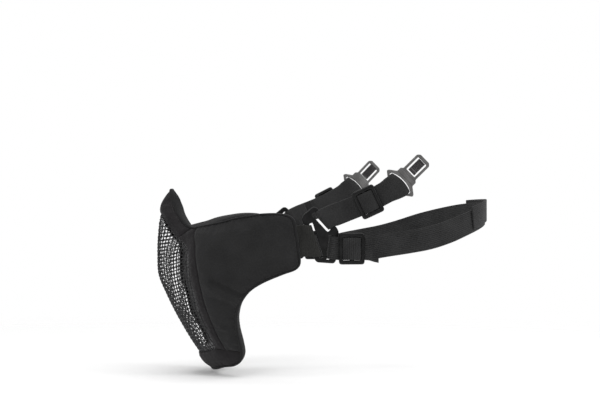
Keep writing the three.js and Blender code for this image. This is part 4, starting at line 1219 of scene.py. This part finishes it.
# ---- Rail clips ----------------------------------------------------------------------------------
# Moulded grey plastic clips that push into a helmet's side rail: a strap bar between two horns, a
# shoulder that stops against the rail, and a flat plate with a springy tongue in its bay.
CLIP_THICK, CLIP_BAR = 2.6, 1.4
HORN, SHOULDER, NECK, TIP = 15.0, 8.7, 6.9, 31.0
TONGUE_FROM, TONGUE_ROOT, CLIP_SLOT, CLIP_RAIL = 14.6, 28.2, 1.6, 2.0
clip_plastic = hard_finish(
    "clip_plastic", (0.095, 0.093, 0.092, 1), (0.15, 0.147, 0.145, 1), 0.34, 0.0, 0.0007, 0.3, 0.5)
tongue_plastic = hard_finish(
    "tongue_plastic", (0.012, 0.010, 0.011, 1), (0.045, 0.041, 0.043, 1), 0.3, 0.0, 0.0007, 0.35, 0.5)
CLIP_AXES = (clip_across, clip_along, clip_out)


def even_sided(half):
    return np.array([*half, *[[-x, y] for x, y in half[::-1] if x > 0.01]])


clip_edge = even_sided([
    [0, -CLIP_BAR], [10.6, -0.8], [HORN, 2.6], [HORN - 0.6, 4.2], [SHOULDER + 1.4, 7.4], [SHOULDER, 8.4],
    [SHOULDER, 12.2], [NECK, 13.6], [NECK, TIP - 2], [NECK - 2, TIP]])
sill = CLIP_BAR + 0.4
opening = [
    [-11.4, sill], [11.4, sill], [11.2, 3.9], [7.5, 5.6], [3, 6.6], [-3, 6.6], [-7.5, 5.6], [-11.2, 3.9]]
inner = NECK - CLIP_RAIL
bay = oblong(inner, TONGUE_FROM, TONGUE_ROOT)
clip_piece = moulded(
    "clip", rounded(clip_edge, 0.8, 3), [rounded(opening, 0.5, 2), rounded(bay, 0.7, 3)],
    CLIP_THICK, 0.5, CLIP_AXES, clip_at)
clip_piece.data.materials.append(clip_plastic)
shoulder_edge = rounded(oblong(SHOULDER - 0.5, 8.9, 12.0), 0.7, 3)
shoulder_piece = moulded("shoulder", shoulder_edge, [], 1.6, 0.5, CLIP_AXES, Vector(clip_at) + clip_out * 1.1)
shoulder_piece.data.materials.append(clip_plastic)


def merge(*pieces):
    """Joins pieces into the first one's mesh."""
    shell = bmesh.new()
    for piece in pieces:
        shell.from_mesh(piece.data)
    shell.to_mesh(pieces[0].data)
    shell.free()
    for piece in pieces[1:]:
        bpy.data.objects.remove(piece)
    return pieces[0]


merge(clip_piece, shoulder_piece)
add_pair(clip_piece, "helmet_clip", "{side}_rail_clip", None, ["{side}_rail_clip"])

start, stop = TONGUE_FROM + 0.9, TONGUE_ROOT - CLEAR
low, high = 0.3 - CLIP_THICK / 2, CLIP_THICK / 2 - 0.3
ridges = []
for i in range(5):
    y = stop - 2.2 - i * 1.5
    ridges += [[y, high], [y - 0.25, high + 0.4], [y - 0.65, high + 0.4], [y - 0.9, high]]
side_view = [
    [start, low], [stop, low], [stop, high], *ridges,
    [start + 3.2, high], [start + 2.2, high + 0.9], [start, high + 0.9]]
TONGUE_AXES = (clip_along, clip_out, clip_across)
tongue = moulded(
    "tongue", rounded(side_view, 0.08, 1), [], 2 * (NECK - CLIP_RAIL - CLIP_SLOT), 0.08, TONGUE_AXES, clip_at)
add_pair(tongue, "clip_tongue", "{side}_clip_latch", tongue_plastic, ["{side}_clip_latch"])

# ---- Floor and lights ----------------------------------------------------------------------------
# A pale floor that fades into a white backdrop, lit by a broad soft box overhead, a key panel in
# front and a small panel behind for the edges.
FLOOR, FLOOR_HALF, FADE_FROM, FADE_TO = -0.058, 2.5, 0.22, 0.85
BACKDROP_SEEN, BACKDROP_LIGHT = 1.0, 0.5
PANELS = (  # name, place, what it faces, size in metres, power in watts
    ("overhead", (0.1, 0.1, 1.8), (0.1, 0.1, 0), 2.4, 29.0),
    ("key", (1.2, -0.7, 0.9), CAMERA_AIM, 0.6, 3.5),
    ("back", (0.8, 1.2, 0.7), CAMERA_AIM, 0.5, 4.0),
)
floor_material, floor_tree, floor_bsdf = fresh_material("pale_floor", (0.95, 0.95, 0.95, 1), 0.9)
floor_bsdf.inputs["Specular IOR Level"].default_value = 0.05
floor_place = floor_tree.nodes.new("ShaderNodeTexCoord").outputs["Object"]
floor_reach = place_node(floor_tree, "ShaderNodeVectorMath", {0: floor_place}, operation="LENGTH")
floor_fade = place_node(
    floor_tree, "ShaderNodeMapRange",
    {0: floor_reach.outputs["Value"], 1: FADE_FROM, 2: FADE_TO, 3: 1.0, 4: 0.0},
    interpolation_type="SMOOTHSTEP")
floor_tree.links.new(floor_fade.outputs[0], floor_bsdf.inputs["Alpha"])
floor_points = [(x, y, FLOOR) for y in (-FLOOR_HALF, FLOOR_HALF) for x in (-FLOOR_HALF, FLOOR_HALF)]
floor = make_piece("floor", floor_points, [(0, 1, 3, 2)])
floor.data.materials.append(floor_material)

world = bpy.data.worlds.new("studio")
world.use_nodes = True
sky = world.node_tree
seen, felt = sky.nodes["Background"], sky.nodes.new("ShaderNodeBackground")
seen.inputs[0].default_value = felt.inputs[0].default_value = (1.0, 1.0, 1.0, 1)
seen.inputs[1].default_value, felt.inputs[1].default_value = BACKDROP_SEEN, BACKDROP_LIGHT
mixer = place_node(sky, "ShaderNodeMixShader", {
    0: sky.nodes.new("ShaderNodeLightPath").outputs["Is Camera Ray"], 1: felt.outputs[0], 2: seen.outputs[0]})
sky.links.new(mixer.outputs[0], sky.nodes["World Output"].inputs[0])
scene.world = world
scene.view_settings.view_transform = "Standard"


def add_panel(name, place, aim, size, power):
    light = bpy.data.lights.new(name, "AREA")
    light.shape, light.size, light.energy = "SQUARE", size, power
    panel = bpy.data.objects.new(name, light)
    scene.collection.objects.link(panel)
    panel.location = place
    panel.rotation_mode = "QUATERNION"
    panel.rotation_quaternion = (Vector(aim) - Vector(place)).to_track_quat("-Z", "Y")


for panel in PANELS:
    add_panel(*panel)
